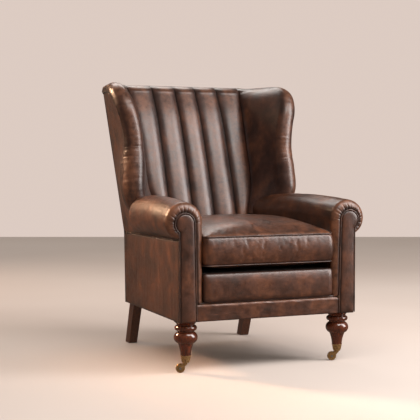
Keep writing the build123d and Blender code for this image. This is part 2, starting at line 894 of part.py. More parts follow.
def cushion_section(depth, crown_share, inset, draw):
    """Outline across the cushion: crowned top, sagged bottom and swelled sides."""
    share = max((depth - cushion_front) / (cushion_rear - cushion_front), 0)
    half = side_half(arm_inner_inset + cushion_side_gap, depth) - inset - draw
    rise = cushion_seam_rise * math.sin(math.pi * share)
    top = cushion_top_seam + rise - inset - draw
    bottom = cushion_bottom_seam + inset + draw
    crown = top + cushion_crown * crown_share
    sag = bottom - (cushion_sag - soft_gap) * min(crown_share * cushion_sag_share, 1)
    middle = (top + bottom) / 2
    side = half + cushion_side_bulge
    corners = [(-half, bottom), (0, sag), (half, bottom), (side, middle), (half, top)]
    corners += [(0, crown), (-half, top), (-side, middle), (-half, bottom)]
    points = [place(across, depth, height) for across, height in corners]
    arcs = zip(points[::2], points[1::2], points[2::2])
    return Wire([Edge.make_three_point_arc(*arc) for arc in arcs])


def cushion_body(inset):
    """The cushion, less an inset: a long crowned part and a swelled front."""
    length = cushion_rear - cushion_front - inset * 2
    front = []
    for ahead_share, draw_share in cushion_nose_shares:
        depth = cushion_front + inset - cushion_bulge * ahead_share
        front.append(cushion_section(depth, cushion_crown_shares[0], inset, cushion_bulge * draw_share))
    long_part = []
    for share, crown in zip(cushion_depth_shares, cushion_crown_shares):
        long_part.append(cushion_section(cushion_front + inset + length * share, crown, inset, 0))
    return Solid.make_loft(front, ruled=False) + Solid.make_loft(long_part, ruled=False)


cushion_outer = cushion_body(0)
cushion_core = cushion_body(cushion_leather)
keep("seat_cushion", cushion_outer - cushion_core)
keep("cushion_core", cushion_core)


# Front legs
def leg_profile():
    """Half outline of the turned leg, from its top down to the spigot in the castor cup."""
    top = base_front + frame_lift + overrun
    flare_top = base_front - leg_seat_drop
    ring_top = base_front - leg_flare_height
    ring_bottom = ring_top - ring_height
    bulb_top = ring_bottom - collar_height
    bulb_bottom = bulb_top - bulb_height
    spigot = cup_bottom + cup_floor + seat_gap
    foot_inner = foot_radius - cup_wall - seat_gap

    def at(radius, height):
        return Vector(radius, 0, height)

    edges = [
        Edge.make_line(at(0, top), at(leg_seat_radius, top)),
        Edge.make_line(at(leg_seat_radius, top), at(leg_seat_radius, flare_top)),
        Edge.make_line(at(leg_seat_radius, flare_top), at(leg_flare_radius, flare_top)),
        Edge.make_three_point_arc(
            at(leg_flare_radius, flare_top),
            at(blend(leg_flare_neck, leg_flare_radius, leg_neck_share), (flare_top + ring_top) / 2),
            at(leg_flare_neck, ring_top),
        ),
        Edge.make_three_point_arc(
            at(leg_flare_neck, ring_top),
            at(ring_radius, (ring_top + ring_bottom) / 2),
            at(collar_radius, ring_bottom),
        ),
        Edge.make_line(at(collar_radius, ring_bottom), at(collar_radius, bulb_top)),
        Edge.make_three_point_arc(
            at(collar_radius, bulb_top),
            at(bulb_radius, (bulb_top + bulb_bottom) / 2),
            at(groove_radius, bulb_bottom),
        ),
        Edge.make_three_point_arc(
            at(groove_radius, bulb_bottom),
            at(blend(foot_radius, groove_radius, leg_throat_share), (cup_top + bulb_bottom) / 2),
            at(foot_radius, cup_top),
        ),
        Edge.make_line(at(foot_radius, cup_top), at(foot_inner, cup_top)),
        Edge.make_line(at(foot_inner, cup_top), at(foot_inner - spigot_taper, spigot)),
        Edge.make_line(at(foot_inner - spigot_taper, spigot), at(0, spigot)),
        Edge.make_line(at(0, spigot), at(0, top)),
    ]
    return Face(Wire(edges))


def at_leg(shape):
    return Location(place(leg_half, leg_depth, 0)) * shape


def upright(radius, bottom, top):
    """Upright round rod on the axis of a leg."""
    return Solid.make_cylinder(radius, top - bottom, Plane((0, 0, bottom)))


turned = revolve(leg_profile(), axis=Axis.Z)
bore = upright(stem_radius + stem_fit, cup_bottom, stem_top + soft_gap)
front_leg = below(at_leg(turned - bore), base_plane(frame_lift)) - front_bolt()


# Castors
def castor_cup():
    """Tapered socket on the end of the leg."""
    base = Plane((0, 0, cup_bottom))
    outer = Solid.make_cone(cup_bottom_radius, cup_top_radius, cup_top - cup_bottom, base)
    rim = upright(cup_top_radius + cup_wall / 2, cup_top - cup_wall, cup_top)
    spigot = cup_bottom + cup_floor + seat_gap
    room = foot_radius - cup_wall
    floor = Plane((0, 0, spigot))
    hollow = Solid.make_cone(room - spigot_taper, room, cup_top - spigot, floor)
    return outer + rim - hollow - bore


def cup_screw(angle):
    """Round-headed screw through the wall of the cup."""
    height = (cup_top + cup_bottom) / 2 + cup_wall
    way = Vector(math.cos(angle), math.sin(angle), 0)
    start = Vector(0, 0, height) + way * (cup_bottom_radius - cup_wall * 3)
    end = Vector(0, 0, height) + way * (cup_top_radius - cup_wall / 4)
    return rod(start, end, cup_screw_radius)


screw_heading = math.radians(cup_screw_heading)
cup_screws = [cup_screw(screw_heading), cup_screw(screw_heading + math.pi)]
cup = castor_cup()
for screw in cup_screws:
    cup -= screw
    front_leg -= at_leg(screw)
keep_pair("front_leg", front_leg)
keep_pair("castor_cup", at_leg(cup))
keep_both("cup_screws", *[at_leg(screw) for screw in cup_screws])


def at_castor(shape, side):
    """Puts a castor piece, drawn with its trail along +X, under the right or the left leg."""
    spot = Location(place(side * leg_half, leg_depth, 0))
    return spot * Rotation(0, 0, castor_turn) * shape


cheek_start = wheel_width / 2 + cheek_gap
cheek_end = cheek_start + cheek_thickness
plate_top = cup_bottom - horn_gap
plate_bottom = plate_top - horn_plate_thickness


def place_in_plane(along, height):
    return Vector(along, 0, height)


def cheek(side):
    """One side plate of the horn, from the plate down to the axle."""
    radius = cheek_end_radius
    high = place_in_plane(0, plate_top - radius)
    centre = place_in_plane(castor_trail, wheel_radius)
    way = (centre - high).normalized()
    square = Vector(-way.Z, 0, way.X)
    edges = [
        Edge.make_line(high + square * radius, centre + square * radius),
        Edge.make_three_point_arc(centre + square * radius, centre + way * radius, centre - square * radius),
        Edge.make_line(centre - square * radius, high - square * radius),
        Edge.make_three_point_arc(high - square * radius, high - way * radius, high + square * radius),
    ]
    start = cheek_start if side > 0 else -cheek_end
    face = Face(Wire(edges)).moved(Location((0, start, 0)))
    return Solid.extrude(face, Vector(0, cheek_thickness, 0))


def axle():
    """Fixed axle with a head on each side."""
    centre = place_in_plane(castor_trail, wheel_radius)
    reach = Vector(0, cheek_end + axle_head, 0)
    pin = rod(centre - reach, centre + reach, axle_radius)
    for way in (1, -1):
        start = centre + Vector(0, way * cheek_end, 0)
        pin += rod(start, start + Vector(0, way * axle_head, 0), axle_head_radius)
    return pin


def horn():
    """Swivel plate with its stem and the two cheeks that hold the axle."""
    plate = upright(horn_plate_radius, plate_bottom, plate_top)
    stem = upright(stem_radius, plate_bottom, stem_top)
    return plate + stem + cheek(1) + cheek(-1) - axle()


def wheel():
    """Crowned wheel with a running bore."""
    half = wheel_width / 2
    edge = wheel_radius - wheel_crown
    bore_radius = axle_radius + axle_fit
    edges = [
        Edge.make_line(Vector(bore_radius, -half), Vector(edge, -half)),
        Edge.make_three_point_arc(Vector(edge, -half), Vector(wheel_radius, 0), Vector(edge, half)),
        Edge.make_line(Vector(edge, half), Vector(bore_radius, half)),
        Edge.make_line(Vector(bore_radius, half), Vector(bore_radius, -half)),
    ]
    tread = revolve(Face(Wire(edges)), axis=Axis.Y)
    return Location(place_in_plane(castor_trail, wheel_radius)) * tread


for side, name in ((1, "right"), (-1, "left")):
    keep("castor_horn_" + name, at_castor(horn(), side))
    keep("castor_axle_" + name, at_castor(axle(), side))
    keep("castor_wheel_" + name, at_castor(wheel(), side))


# Rear legs
def leg_rectangle(depth, width, thickness, height):
    ways = ((-1, -1), (1, -1), (1, 1), (-1, 1))
    corners = [(rear_leg_half + way * width / 2, depth + back * thickness / 2) for way, back in ways]
    return ring_wire([place(half, deep, height) for half, deep in corners])


rake = (rear_foot_depth - rear_leg_top_depth) / base_rear
high = base_rear + overrun
top_depth = rear_leg_top_depth - rake * overrun
rear_leg = Solid.make_loft(
    [
        leg_rectangle(rear_foot_depth, rear_foot_width, rear_foot_thickness, 0),
        leg_rectangle(top_depth, rear_leg_width, rear_leg_thickness, high),
    ],
    ruled=True,
)
foot_edges = rear_leg.edges().filter_by(lambda edge: edge.center().Z < seat_gap)
rear_leg = chamfer(foot_edges, rear_foot_chamfer)
rear_leg = below(rear_leg, base_plane(frame_lift)) - rear_bolt()
keep_pair("rear_leg", rear_leg)
keep_both("leg_bolts", front_bolt(), rear_bolt())


for name, solids in nodes.items():
    export_step(Compound(children=solids), "parts/" + name + ".step")
corners = [solid.bounding_box() for solids in nodes.values() for solid in solids]
print(len(nodes), "nodes")
print("low", [round(min(getattr(box.min, axis) for box in corners), 1) for axis in "XYZ"])
print("high", [round(max(getattr(box.max, axis) for box in corners), 1) for axis in "XYZ"])
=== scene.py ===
import math
import random

import bmesh
import bpy
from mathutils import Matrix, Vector, noise
from mathutils.kdtree import KDTree

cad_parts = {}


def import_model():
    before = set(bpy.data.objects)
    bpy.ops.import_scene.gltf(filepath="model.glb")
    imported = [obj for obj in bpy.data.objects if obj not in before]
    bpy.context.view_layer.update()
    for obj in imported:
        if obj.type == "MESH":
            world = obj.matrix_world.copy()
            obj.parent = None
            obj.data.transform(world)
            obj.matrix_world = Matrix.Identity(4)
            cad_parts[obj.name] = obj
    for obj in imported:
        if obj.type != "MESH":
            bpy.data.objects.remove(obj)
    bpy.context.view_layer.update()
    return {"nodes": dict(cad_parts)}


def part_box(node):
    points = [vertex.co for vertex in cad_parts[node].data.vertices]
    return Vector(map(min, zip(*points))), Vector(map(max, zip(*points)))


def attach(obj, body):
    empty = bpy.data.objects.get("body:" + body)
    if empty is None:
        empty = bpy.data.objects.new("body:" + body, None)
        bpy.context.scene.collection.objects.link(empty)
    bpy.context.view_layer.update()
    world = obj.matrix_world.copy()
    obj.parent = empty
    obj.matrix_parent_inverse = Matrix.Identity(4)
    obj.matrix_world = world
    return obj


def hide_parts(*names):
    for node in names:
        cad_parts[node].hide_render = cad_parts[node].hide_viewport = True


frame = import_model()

# Dressed model of a leather wing chair, in metres. Right-hand pieces (+X) are drawn, and the
# left-hand ones are their mirror images with wrinkles of their own. A depth is measured back
# from the front plane of the arm facings, and an inset in from the outer face of the body.

# Body lines, as in the frame
FACING = -0.421
HALF_FRONT, HALF_REAR, BODY_DEPTH = 0.353, 0.291, 0.736
BASE_FRONT, BASE_REAR = 0.184, 0.172
SEAM_FRONT, SEAM_REAR = 0.478, 0.460
BEND_HEIGHT, BEND_DEPTH = 0.460, 0.748
TOP_HEIGHT, TOP_DEPTH, TOP_HALF = 1.022, 0.853, 0.342
FRAME_TOP, CREST = 1.031, 1.062
REAR_COVER = 0.0063
GAP = 0.0003
WELT = 0.0026
SIDES = ((1, "right"), (-1, "left"))
# Unevenness of the covers: height of its waves, and how many lie along a metre
ARM_WAVES, FACING_WAVES, ARM_PANEL_WAVES = (0.0009, 26), (0.0008, 30), (0.0016, 7)
WING_WAVES, WING_COVER_WAVES = (0.0010, 15), (0.0014, 8)
BACK_WAVES, BACK_DIMPLES = (0.0022, 5), (0.0006, 22)
CUSHION_WAVES, DECK_WAVES = (0.0010, 10), (0.0006, 14)
WELT_LUMPS = 160


def mix(first, last, share):
    return first + (last - first) * share


def clamp(share):
    return min(max(share, 0), 1)


def ease(share):
    """A smooth step from 0 to 1."""
    share = clamp(share)
    return share * share * (3 - 2 * share)


def fade(distance, width):
    """A smooth fall from 1 to 0 over a width."""
    return 1 - ease(distance / width)


def shares(count, first=0):
    """Even shares of a length, from first / count up to 1."""
    return [step / count for step in range(first, count + 1)]


def quarter_round(share):
    """Height of a quarter round, from 0 at its foot to 1 where the share of its width is 1."""
    return math.sqrt(1 - (1 - min(share, 1)) ** 2)


def groove(away, width):
    """A soft groove of unit depth, read at a distance from its middle."""
    return math.exp(-((away / width) ** 2))


def ripple(point, waves, shift=0):
    """How far a cover's waves lift a point of it."""
    height, per_metre = waves
    return height * noise.noise(point * per_metre + Vector((shift, 0, 0)))


def waver(*spot):
    """Smooth noise between -1 and 1."""
    return noise.noise(Vector(spot))


def from_ends(share, length):
    """Distance from the nearer end of a length."""
    return min(share, 1 - share) * length


def drawn(draw, count, *spans):
    """Rows of random numbers, with one number from each span."""
    return [[draw.uniform(*span) for span in spans] for _ in range(count)]


def through(rows, share):
    """A smooth curve through rows of numbers, read at a share of the way along them."""
    place_in = clamp(share) * (len(rows) - 1)
    index = min(int(place_in), len(rows) - 2)
    t = place_in - index
    before, first = rows[max(index - 1, 0)], rows[index]
    last, after = rows[index + 1], rows[min(index + 2, len(rows) - 1)]
    read = []
    for a, b, c, d in zip(before, first, last, after):
        rise = (c - a) / 2
        fall = (d - b) / 2
        read.append(b + t * (rise + t * (3 * (c - b) - 2 * rise - fall + t * (2 * (b - c) + rise + fall))))
    return read


def swing(half, height, reach, angle):
    """The point that lies at a reach and an angle from a middle, in half width and height."""
    return half + reach * math.cos(angle), height + reach * math.sin(angle)


def place(half, depth, height):
    return Vector((half, FACING + depth, height))


def side_half(inset, depth):
    return mix(HALF_FRONT, HALF_REAR, depth / BODY_DEPTH) - inset


def seam_height(depth):
    return mix(SEAM_FRONT, SEAM_REAR, depth / BODY_DEPTH)


def base_height(depth):
    return mix(BASE_FRONT, BASE_REAR, depth / BODY_DEPTH)


def rear_edge(height):
    """Half width and depth of the rear edge of the back at a height."""
    if height <= BEND_HEIGHT:
        share = (height - BASE_REAR) / (BEND_HEIGHT - BASE_REAR)
        return HALF_REAR, mix(BODY_DEPTH, BEND_DEPTH, share)
    share = (height - BEND_HEIGHT) / (TOP_HEIGHT - BEND_HEIGHT)
    return mix(HALF_REAR, TOP_HALF, share), mix(BEND_DEPTH, TOP_DEPTH, share)


# Mesh builders
def build(name, points, faces, relief=None, **tones):
    """A mesh object. Relief moves each point along its normal; the tones give its leather painted shade
    and wear.
    """
    bm = bmesh.new()
    layers = [(bm.verts.layers.float.new(word), values) for word, values in tones.items() if values]
    verts = [bm.verts.new(point) for point in points]
    for face in faces:
        bm.faces.new([verts[index] for index in face]).smooth = True
    bmesh.ops.recalc_face_normals(bm, faces=bm.faces)
    bm.normal_update()
    if relief:
        moved = [vert.co + vert.normal * lift for vert, lift in zip(verts, relief)]
        for vert, point in zip(verts, moved):
            vert.co = point
    for layer, values in layers:
        for vert, value in zip(verts, values):
            vert[layer] = value
    mesh = bpy.data.meshes.new(name)
    bm.to_mesh(mesh)
    bm.free()
    piece = bpy.data.objects.new(name, mesh)
    bpy.context.scene.collection.objects.link(piece)
    return piece


def loft(name, rings, side=1, relief=None, seam=None, wear=None):
    """A closed skin over closed rings of points. Relief and tones are functions of ring and point,
    or rows of values, where a row that ends early leaves the hidden rest of its ring dark with
    painted shade."""
    count = len(rings[0])
    points = [Vector((point.x * side, point.y, point.z)) for ring in rings for point in ring]
    faces = []
    for row in range(len(rings) - 1):
        for index in range(count):
            after = (index + 1) % count
            low, high = row * count, (row + 1) * count
            faces.append((low + index, low + after, high + after, high + index))
    for start in (0, (len(rings) - 1) * count):
        for index in range((count - 1) // 2):
            face = [start + index, start + index + 1, start + count - 2 - index, start + count - 1 - index]
            faces.append(list(dict.fromkeys(face)))

    def spread(tone, hidden=0):
        if tone is None:
            return None
        if callable(tone):
            return [tone(row, index) for row in range(len(rings)) for index in range(count)]
        return [value for row in tone for value in (*row, *[hidden] * (count - len(row)))]

    return build(name, points, faces, spread(relief), seam=spread(seam, 1), wear=spread(wear))


def skin(name, rows, columns, sample, side=1):
    """A closed skin over rows and columns. Sample gives a shown point, the hidden point behind it,
    and the shown point's relief and tones."""
    rings, tones = [], []
    for row in rows:
        shown, hidden, *row_tones = zip(*(sample(row, column) for column in columns))
        rings.append([*shown, *reversed(hidden)])
        tones.append(row_tones)
    return loft(name, rings, side, *zip(*tones))


def welt(name, path, *nodes, side=1, radius=WELT, corners=10, wobble=0.10, body="root", levels=1):
    """A piped welt: a round cord along a path, with flat ends and a slightly uneven surface."""
    rings = []
    normal = Vector((0, -1, 0))
    for index, point in enumerate(path):
        ahead = path[min(index + 1, len(path) - 1)] - path[max(index - 1, 0)]
        ahead.normalize()
        normal = (normal - ahead * normal.dot(ahead)).normalized()
        across = ahead.cross(normal)
        swell = 1 + ripple(point, (wobble, WELT_LUMPS))
        ring = []
        for turn in range(corners):
            angle = math.tau * turn / corners
            ring.append(point + (normal * math.cos(angle) + across * math.sin(angle)) * radius * swell)
        rings.append(ring)
    piece = loft(name, rings, side)
    finish_piece(piece, WELT_LEATHER, "welt_leather", *nodes, body=body, levels=levels)


def baked_mesh(piece):
    """A copy of the piece's mesh as its modifiers leave it."""
    return bpy.data.meshes.new_from_object(piece.evaluated_get(bpy.context.evaluated_depsgraph_get()))


# Swelling the cushion: size of the even mesh, frames of the simulation, the longest way that a
# point may move, and the cover's cloth with the air pressure in it
EVEN_MESH, SWELL_FRAMES, LONGEST_SWELL = 0.006, 20, 0.007
COVER_CLOTH = {
    "quality": 5, "mass": 0.3, "tension_stiffness": 12, "compression_stiffness": 12,
    "shear_stiffness": 6, "bending_stiffness": 0.35, "use_pressure": True,
    "uniform_pressure_force": 4.0, "shrink_min": -0.004, "vertex_group_mass": "held",
}


def inflate(piece, hold):
    """Swells a closed cushion by cloth simulation. Hold gives how firmly each point stays put."""
    scene = bpy.context.scene
    even = piece.modifiers.new("even", "REMESH")
    even.mode = "VOXEL"
    even.voxel_size = EVEN_MESH
    piece.data = baked_mesh(piece)
    piece.modifiers.clear()
    before = [vert.co.copy() for vert in piece.data.vertices]
    held = piece.vertex_groups.new(name="held")
    for index, point in enumerate(before):
        held.add([index], hold(point), "REPLACE")
    maker = piece.modifiers.new("cloth", "CLOTH")
    for key, value in COVER_CLOTH.items():
        setattr(maker.settings, key, value)
    maker.settings.effector_weights.gravity = 0
    maker.point_cache.frame_start = 1
    maker.point_cache.frame_end = SWELL_FRAMES
    for frame_number in range(1, SWELL_FRAMES + 1):
        scene.frame_set(frame_number)
    swollen = baked_mesh(piece)
    piece.modifiers.clear()
    piece.vertex_groups.clear()
    for vert, point in zip(swollen.vertices, before):
        move = vert.co - point
        if move.length > LONGEST_SWELL:
            vert.co = point + move.normalized() * LONGEST_SWELL
    piece.data = swollen
    scene.frame_set(1)


def shape(piece, change, tones):
    """Moves each point as change says, and writes its tones of painted seam shade and of wear."""
    mesh = piece.data
    points = [vert.co.copy() for vert in mesh.vertices]
    normals = [vert.normal.copy() for vert in mesh.vertices]
    layers = []
    for word in ("seam", "wear"):
        layers.append(mesh.attributes.get(word) or mesh.attributes.new(word, "FLOAT", "POINT"))
    for vert, point, normal in zip(mesh.vertices, points, normals):
        vert.co = change(point, normal)
        for layer, tone in zip(layers, tones(point)):
            layer.data[vert.index].value = tone
    for face in mesh.polygons:
        face.use_smooth = True


def stations(length, step, edge):
    """Shares along a length, closer together within an edge distance of both ends."""
    fine = [edge * share for share in (0, 0.12, 0.3, 0.55, 0.8)]
    count = max(int((length - 2 * edge) / step), 1)
    middle = [edge + (length - 2 * edge) * index / count for index in range(count + 1)]
    places = fine + middle + [length - value for value in reversed(fine)]
    return [value / length for value in places]


def edge_inset(distance, radius):
    """How far a rounded edge falls back, at a distance from the edge."""
    if distance >= radius:
        return 0
    return radius - math.sqrt(max(radius**2 - (radius - distance) ** 2, 0))


def panel(name, point, outward, size, thickness, edge, side=1, step=0.008, lift=None):
    """A covered panel with rounded edges. Point gives its outer face. Outward is the way it faces,
    or a function that gives it. Lift is the cover's unevenness, which fades towards the edges."""
    width, height = size

    def sample(v, u):
        base = point(u, v)
        way = outward(v) if callable(outward) else outward
        near = min(from_ends(u, width), from_ends(v, height))
        shown = base - way * min(edge_inset(near, edge), thickness * 0.9)
        relief = lift(base) * ease(near / (edge * 4)) if lift else 0
        # The tone darkens the rounded edges with painted shade
        return shown, base - way * thickness, relief, fade(near, edge * 2.2)

    return skin(name, stations(height, step, edge), stations(width, step, edge), sample, side)


def finish_piece(piece, material, slot, *nodes, body="root", fill=None, levels=1):
    """Gives a piece its material and subdivision, and ties it to the frame."""
    piece.data.materials.append(material)
    if levels:
        smooth = piece.modifiers.new("smooth", "SUBSURF")
        smooth.levels = smooth.render_levels = levels
    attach(piece, body)
    if nodes:
        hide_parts(*nodes)


# Materials
def set_inputs(tree, made, inputs):
    """Sets a node's inputs to values, or links them to the outputs of other nodes."""
    for key, value in inputs.items():
        if isinstance(value, bpy.types.NodeSocket):
            tree.links.new(value, made.inputs[key])
        else:
            made.inputs[key].default_value = value


def node(tree, kind, inputs=None, **settings):
    made = tree.nodes.new("ShaderNode" + kind)
    for key, value in settings.items():
        setattr(made, key, value)
    set_inputs(tree, made, inputs or {})
    return made


def new_material(name):
    material = bpy.data.materials.new(name)
    material.use_nodes = True
    tree = material.node_tree
    tree.nodes.clear()
    shader = node(tree, "BsdfPrincipled")
    node(tree, "OutputMaterial", {"Surface": shader.outputs[0]})
    return material, tree, shader


def ramp(tree, factor, stops):
    """Colours at their places on a scale of the factor."""
    made = node(tree, "ValToRGB", {"Fac": factor})
    elements = made.color_ramp.elements
    while len(elements) < len(stops):
        elements.new(0.5)
    for element, (position, colour) in zip(elements, stops):
        element.position = position
        element.color = (*colour, 1)
    return made.outputs["Color"]


# Places of the two colours and of the mixed colour among a mix node's sockets
MIX_FIRST, MIX_LAST, MIX_RESULT = 6, 7, 2


def blend_colour(tree, factor, first, last, kind="MIX"):
    inputs = {"Factor": factor}
    for key, value in ((MIX_FIRST, first), (MIX_LAST, last)):
        inputs[key] = value if isinstance(value, bpy.types.NodeSocket) else (*value, 1)
    return node(tree, "Mix", inputs, data_type="RGBA", blend_type=kind).outputs[MIX_RESULT]


def object_place(tree):
    return node(tree, "TexCoord").outputs["Object"]


def spots(tree, scale, detail=4.0, roughness=0.55, distortion=0.0, stretch=(1, 1, 1)):
    """Noise in the object's own metres, stretched along its axes."""
    mapped = node(tree, "Mapping", {"Vector": object_place(tree), "Scale": stretch}).outputs[0]
    inputs = {"Scale": scale, "Detail": detail, "Roughness": roughness, "Distortion": distortion}
    return node(tree, "TexNoise", {"Vector": mapped, **inputs}).outputs[0]


def level(tree, value, low, high, to_low, to_high):
    """The value moved from one range to another."""
    inputs = {"Value": value, "From Min": low, "From Max": high, "To Min": to_low, "To Max": to_high}
    return node(tree, "MapRange", inputs).outputs[0]


def times(tree, first, last):
    return node(tree, "Math", {0: first, 1: last}, operation="MULTIPLY").outputs[0]


def bump(tree, height, strength, distance, **normal):
    inputs = {"Height": height, "Strength": strength, "Distance": distance, **normal}
    return node(tree, "Bump", inputs).outputs[0]


def tone_of(tree, word):
    """A tone that the mesh builders wrote on the points."""
    return node(tree, "Attribute", attribute_name=word).outputs["Fac"]


# Painted shade: the near-black that the seam tone mixes into the leather at seams, grooves and hidden
# parts, and its strength
SEAM_SHADE, SEAM_DARKNESS = (0.010, 0.005, 0.004), 0.82
# The lighter colour of rubbed ridges; on the plinth's lip it is also a painted highlight
RUBBED_AND_HIGHLIGHT = (0.26, 0.105, 0.050)
FLECKS = ((0.34, (0.52, 0.50, 0.50)), (0.52, (0.97, 0.97, 0.97)), (0.68, (1.40, 1.28, 1.15)))
FLECK_SCALE, FLECK_SHARE = 46.0, 0.65
GRAIN_SCALE, GRAIN_STRENGTH, GRAIN_DEPTH = 620.0, 0.16, 0.0007
CREASE_SCALE, CREASE_DEPTH = 70.0, 0.0016


def leather(name, dark, brown, warm, patch=8.0, creased=0.2):
    """Antiqued leather: mottled browns, painted seam shade, rubbed ridges, pebbled grain and fine creases.
    """
    material, tree, shader = new_material(name)
    clouds = spots(tree, patch, 5.0, 0.62, 0.3)
    colour = ramp(tree, clouds, ((0.34, dark), (0.50, brown), (0.68, warm)))
    flecks = spots(tree, FLECK_SCALE, 6.0, 0.7, 0.4)
    colour = blend_colour(tree, FLECK_SHARE, colour, ramp(tree, flecks, FLECKS), "MULTIPLY")
    worn = times(tree, tone_of(tree, "wear"), level(tree, flecks, 0.35, 0.6, 0.2, 1.0))
    colour = blend_colour(tree, worn, colour, RUBBED_AND_HIGHLIGHT)
    # Painted shade, wherever the seam tone is
    colour = blend_colour(tree, times(tree, tone_of(tree, "seam"), SEAM_DARKNESS), colour, SEAM_SHADE)
    cells = node(tree, "TexVoronoi", {"Vector": object_place(tree), "Scale": GRAIN_SCALE}).outputs[0]
    creases = spots(tree, CREASE_SCALE, 3.0, 0.6, 0.8, (1, 1, 2.2))
    normal = bump(tree, creases, creased, CREASE_DEPTH)
    set_inputs(tree, shader, {
        "Base Color": colour,
        "Roughness": level(tree, flecks, 0.35, 0.65, 0.31, 0.44),
        "Normal": bump(tree, cells, GRAIN_STRENGTH, GRAIN_DEPTH, Normal=normal),
        "Specular IOR Level": 0.5,
        "Coat Weight": 0.12,
        "Coat Roughness": 0.25,
    })
    return material


def wood(name, dark, light, gloss, coat):
    """Stained wood with grain along its height."""
    material, tree, shader = new_material(name)
    lines = spots(tree, 9.0, 6.0, 0.65, 1.2, (26, 26, 2.2))
    pores = spots(tree, 60.0, 2.0, 0.5, 0.0, (8, 8, 0.6))
    colour = ramp(tree, lines, ((0.32, dark), (0.68, light)))
    set_inputs(tree, shader, {
        "Base Color": blend_colour(tree, level(tree, pores, 0.55, 0.75, 0.0, 0.55), colour, dark),
        "Roughness": level(tree, lines, 0.3, 0.7, gloss, gloss + 0.12),
        "Normal": bump(tree, pores, 0.12, 0.0004),
        "Coat Weight": coat,
        "Coat Roughness": 0.12,
    })
    return material


def metal(name, bright, dull, smooth, rough, polish=1.0):
    """Aged metal: tarnish in soft patches, and fine scratches."""
    material, tree, shader = new_material(name)
    tarnish = spots(tree, 130.0, 5.0, 0.6, 0.5)
    scratches = spots(tree, 900.0, 2.0, 0.5, 0.0, (1, 1, 0.2))
    set_inputs(tree, shader, {
        "Base Color": ramp(tree, tarnish, ((0.38, dull), (0.6, bright))),
        "Roughness": level(tree, tarnish, 0.35, 0.65, rough, smooth),
        "Normal": bump(tree, scratches, 0.08, 0.0002),
        "Metallic": polish,
    })
    return material


def cloth(name, dark, light, weave):
    """Plain woven cloth: two crossing waves of threads."""
    material, tree, shader = new_material(name)
    inputs = {"Vector": object_place(tree), "Scale": weave, "Distortion": 0.6}
    woven = times(tree, *(
        node(tree, "TexWave", inputs, bands_direction=direction).outputs["Fac"] for direction in ("X", "Z")
    ))
    set_inputs(tree, shader, {
        "Base Color": ramp(tree, woven, ((0.1, dark), (0.8, light))),
        "Roughness": level(tree, woven, 0.0, 1.0, 0.95, 0.8),
        "Normal": bump(tree, woven, 0.4, 0.0005),
    })
    return material


LEATHER = leather(
    "antique_leather", (0.027, 0.011, 0.006), (0.051, 0.018, 0.009), (0.090, 0.031, 0.013), patch=15.0
)
BACK_LEATHER = leather(
    "back_leather", (0.018, 0.008, 0.006), (0.036, 0.014, 0.009), (0.070, 0.026, 0.013),
    patch=12.0, creased=0.12,
)
WELT_LEATHER = leather(
    "welt_leather", (0.018, 0.010, 0.008), (0.045, 0.022, 0.016), (0.10, 0.042, 0.024), patch=14.0
)
TURNED = wood("turned_mahogany", (0.024, 0.006, 0.003), (0.115, 0.027, 0.010), 0.16, 0.6)
REAR_WOOD = wood("dark_leg_wood", (0.026, 0.009, 0.005), (0.105, 0.036, 0.016), 0.3, 0.25)
BEECH = wood("beech", (0.38, 0.25, 0.14), (0.60, 0.44, 0.27), 0.55, 0.0)
BRASS = metal("aged_brass", (0.74, 0.46, 0.20), (0.36, 0.20, 0.085), 0.24, 0.42, 0.88)
SCREW_BRASS = metal("screw_brass", (0.60, 0.42, 0.18), (0.24, 0.14, 0.06), 0.26, 0.4)
STEEL = metal("plain_steel", (0.60, 0.59, 0.57), (0.30, 0.29, 0.28), 0.28, 0.45)
SPRING_STEEL = metal("oiled_spring_steel", (0.36, 0.36, 0.37), (0.12, 0.12, 0.13), 0.3, 0.5)
JUTE = cloth("jute_webbing", (0.26, 0.19, 0.11), (0.60, 0.48, 0.30), 190.0)
DECK_CLOTH = cloth("deck_cloth", (0.012, 0.009, 0.008), (0.045, 0.033, 0.026), 260.0)
DUST_CLOTH = cloth("dust_cover_cloth", (0.008, 0.008, 0.008), (0.03, 0.03, 0.03), 320.0)
FOAM = cloth("cut_foam", (0.66, 0.58, 0.36), (0.86, 0.80, 0.60), 420.0)

# Arms
ARM_INSET, HOLLOW_INSET = 0.091, 0.0663
ARM_END, ROLL_END = 0.628, 0.505
ROLL_RADIUS, ROLL_SWELL = 0.069, 0.003
ROLL_HEIGHT, ROLL_RISE = 0.535, 0.012
RIM_DEPTH, RIM_FRONT, RIM_DIP, RIM_TURNS = 0.027, 0.0012, 0.0046, 16
# Hidden points stay behind this depth, and behind the wing's front the roll is cut back to an inset
HIDDEN_DEPTH, ROLL_CUT, CUT_LENGTH = 0.009, 0.0285, 0.012
RETURN_FOOT, RETURN_REAR, DECK_LEVEL = 0.248, 0.0235, 0.3533
FACING_OUTER, STEM_INNER_FOOT, STEM_FOOT_HEIGHT = 0.3494, 0.288, 0.124
FACING_BACK, PANEL_FRONT = 0.0078, 0.0085
HEAD_HALF, HEAD_HEIGHT, HEAD_RADIUS = 0.331, 0.530, 0.0345
WELT_ROOM, TUCK_ROOM = 0.0034, 0.0004
LEG_STEPS, TOP_STEPS, LOWER_STEPS, CURL_SHARE = 30, 90, 36, 0.72
ROLL_ROWS = 92
# Gathered pleats: their number, the angles of the roll between which they stand, and their depth
PLEATS, PLEAT_FIRST, PLEAT_LAST, PLEAT_DEPTH = 13, 186, -58, 0.0030
# A pleat has a raised shoulder on each side, and the long ones run on behind the rim
SHOULDER_HEIGHT, SHOULDER_WIDTH, LONG_PLEAT = 0.32, 2.6, 0.25
TAIL_DEPTH, TAIL_LENGTH = 0.16, 0.016


def roll(depth):
    """Half width, height and radius of the arm roll at a depth."""
    wave = math.sin(math.pi * clamp(depth / ARM_END))
    radius = ROLL_RADIUS + ROLL_SWELL * wave
    return side_half(ARM_INSET, depth) + radius, ROLL_HEIGHT + ROLL_RISE * wave, radius


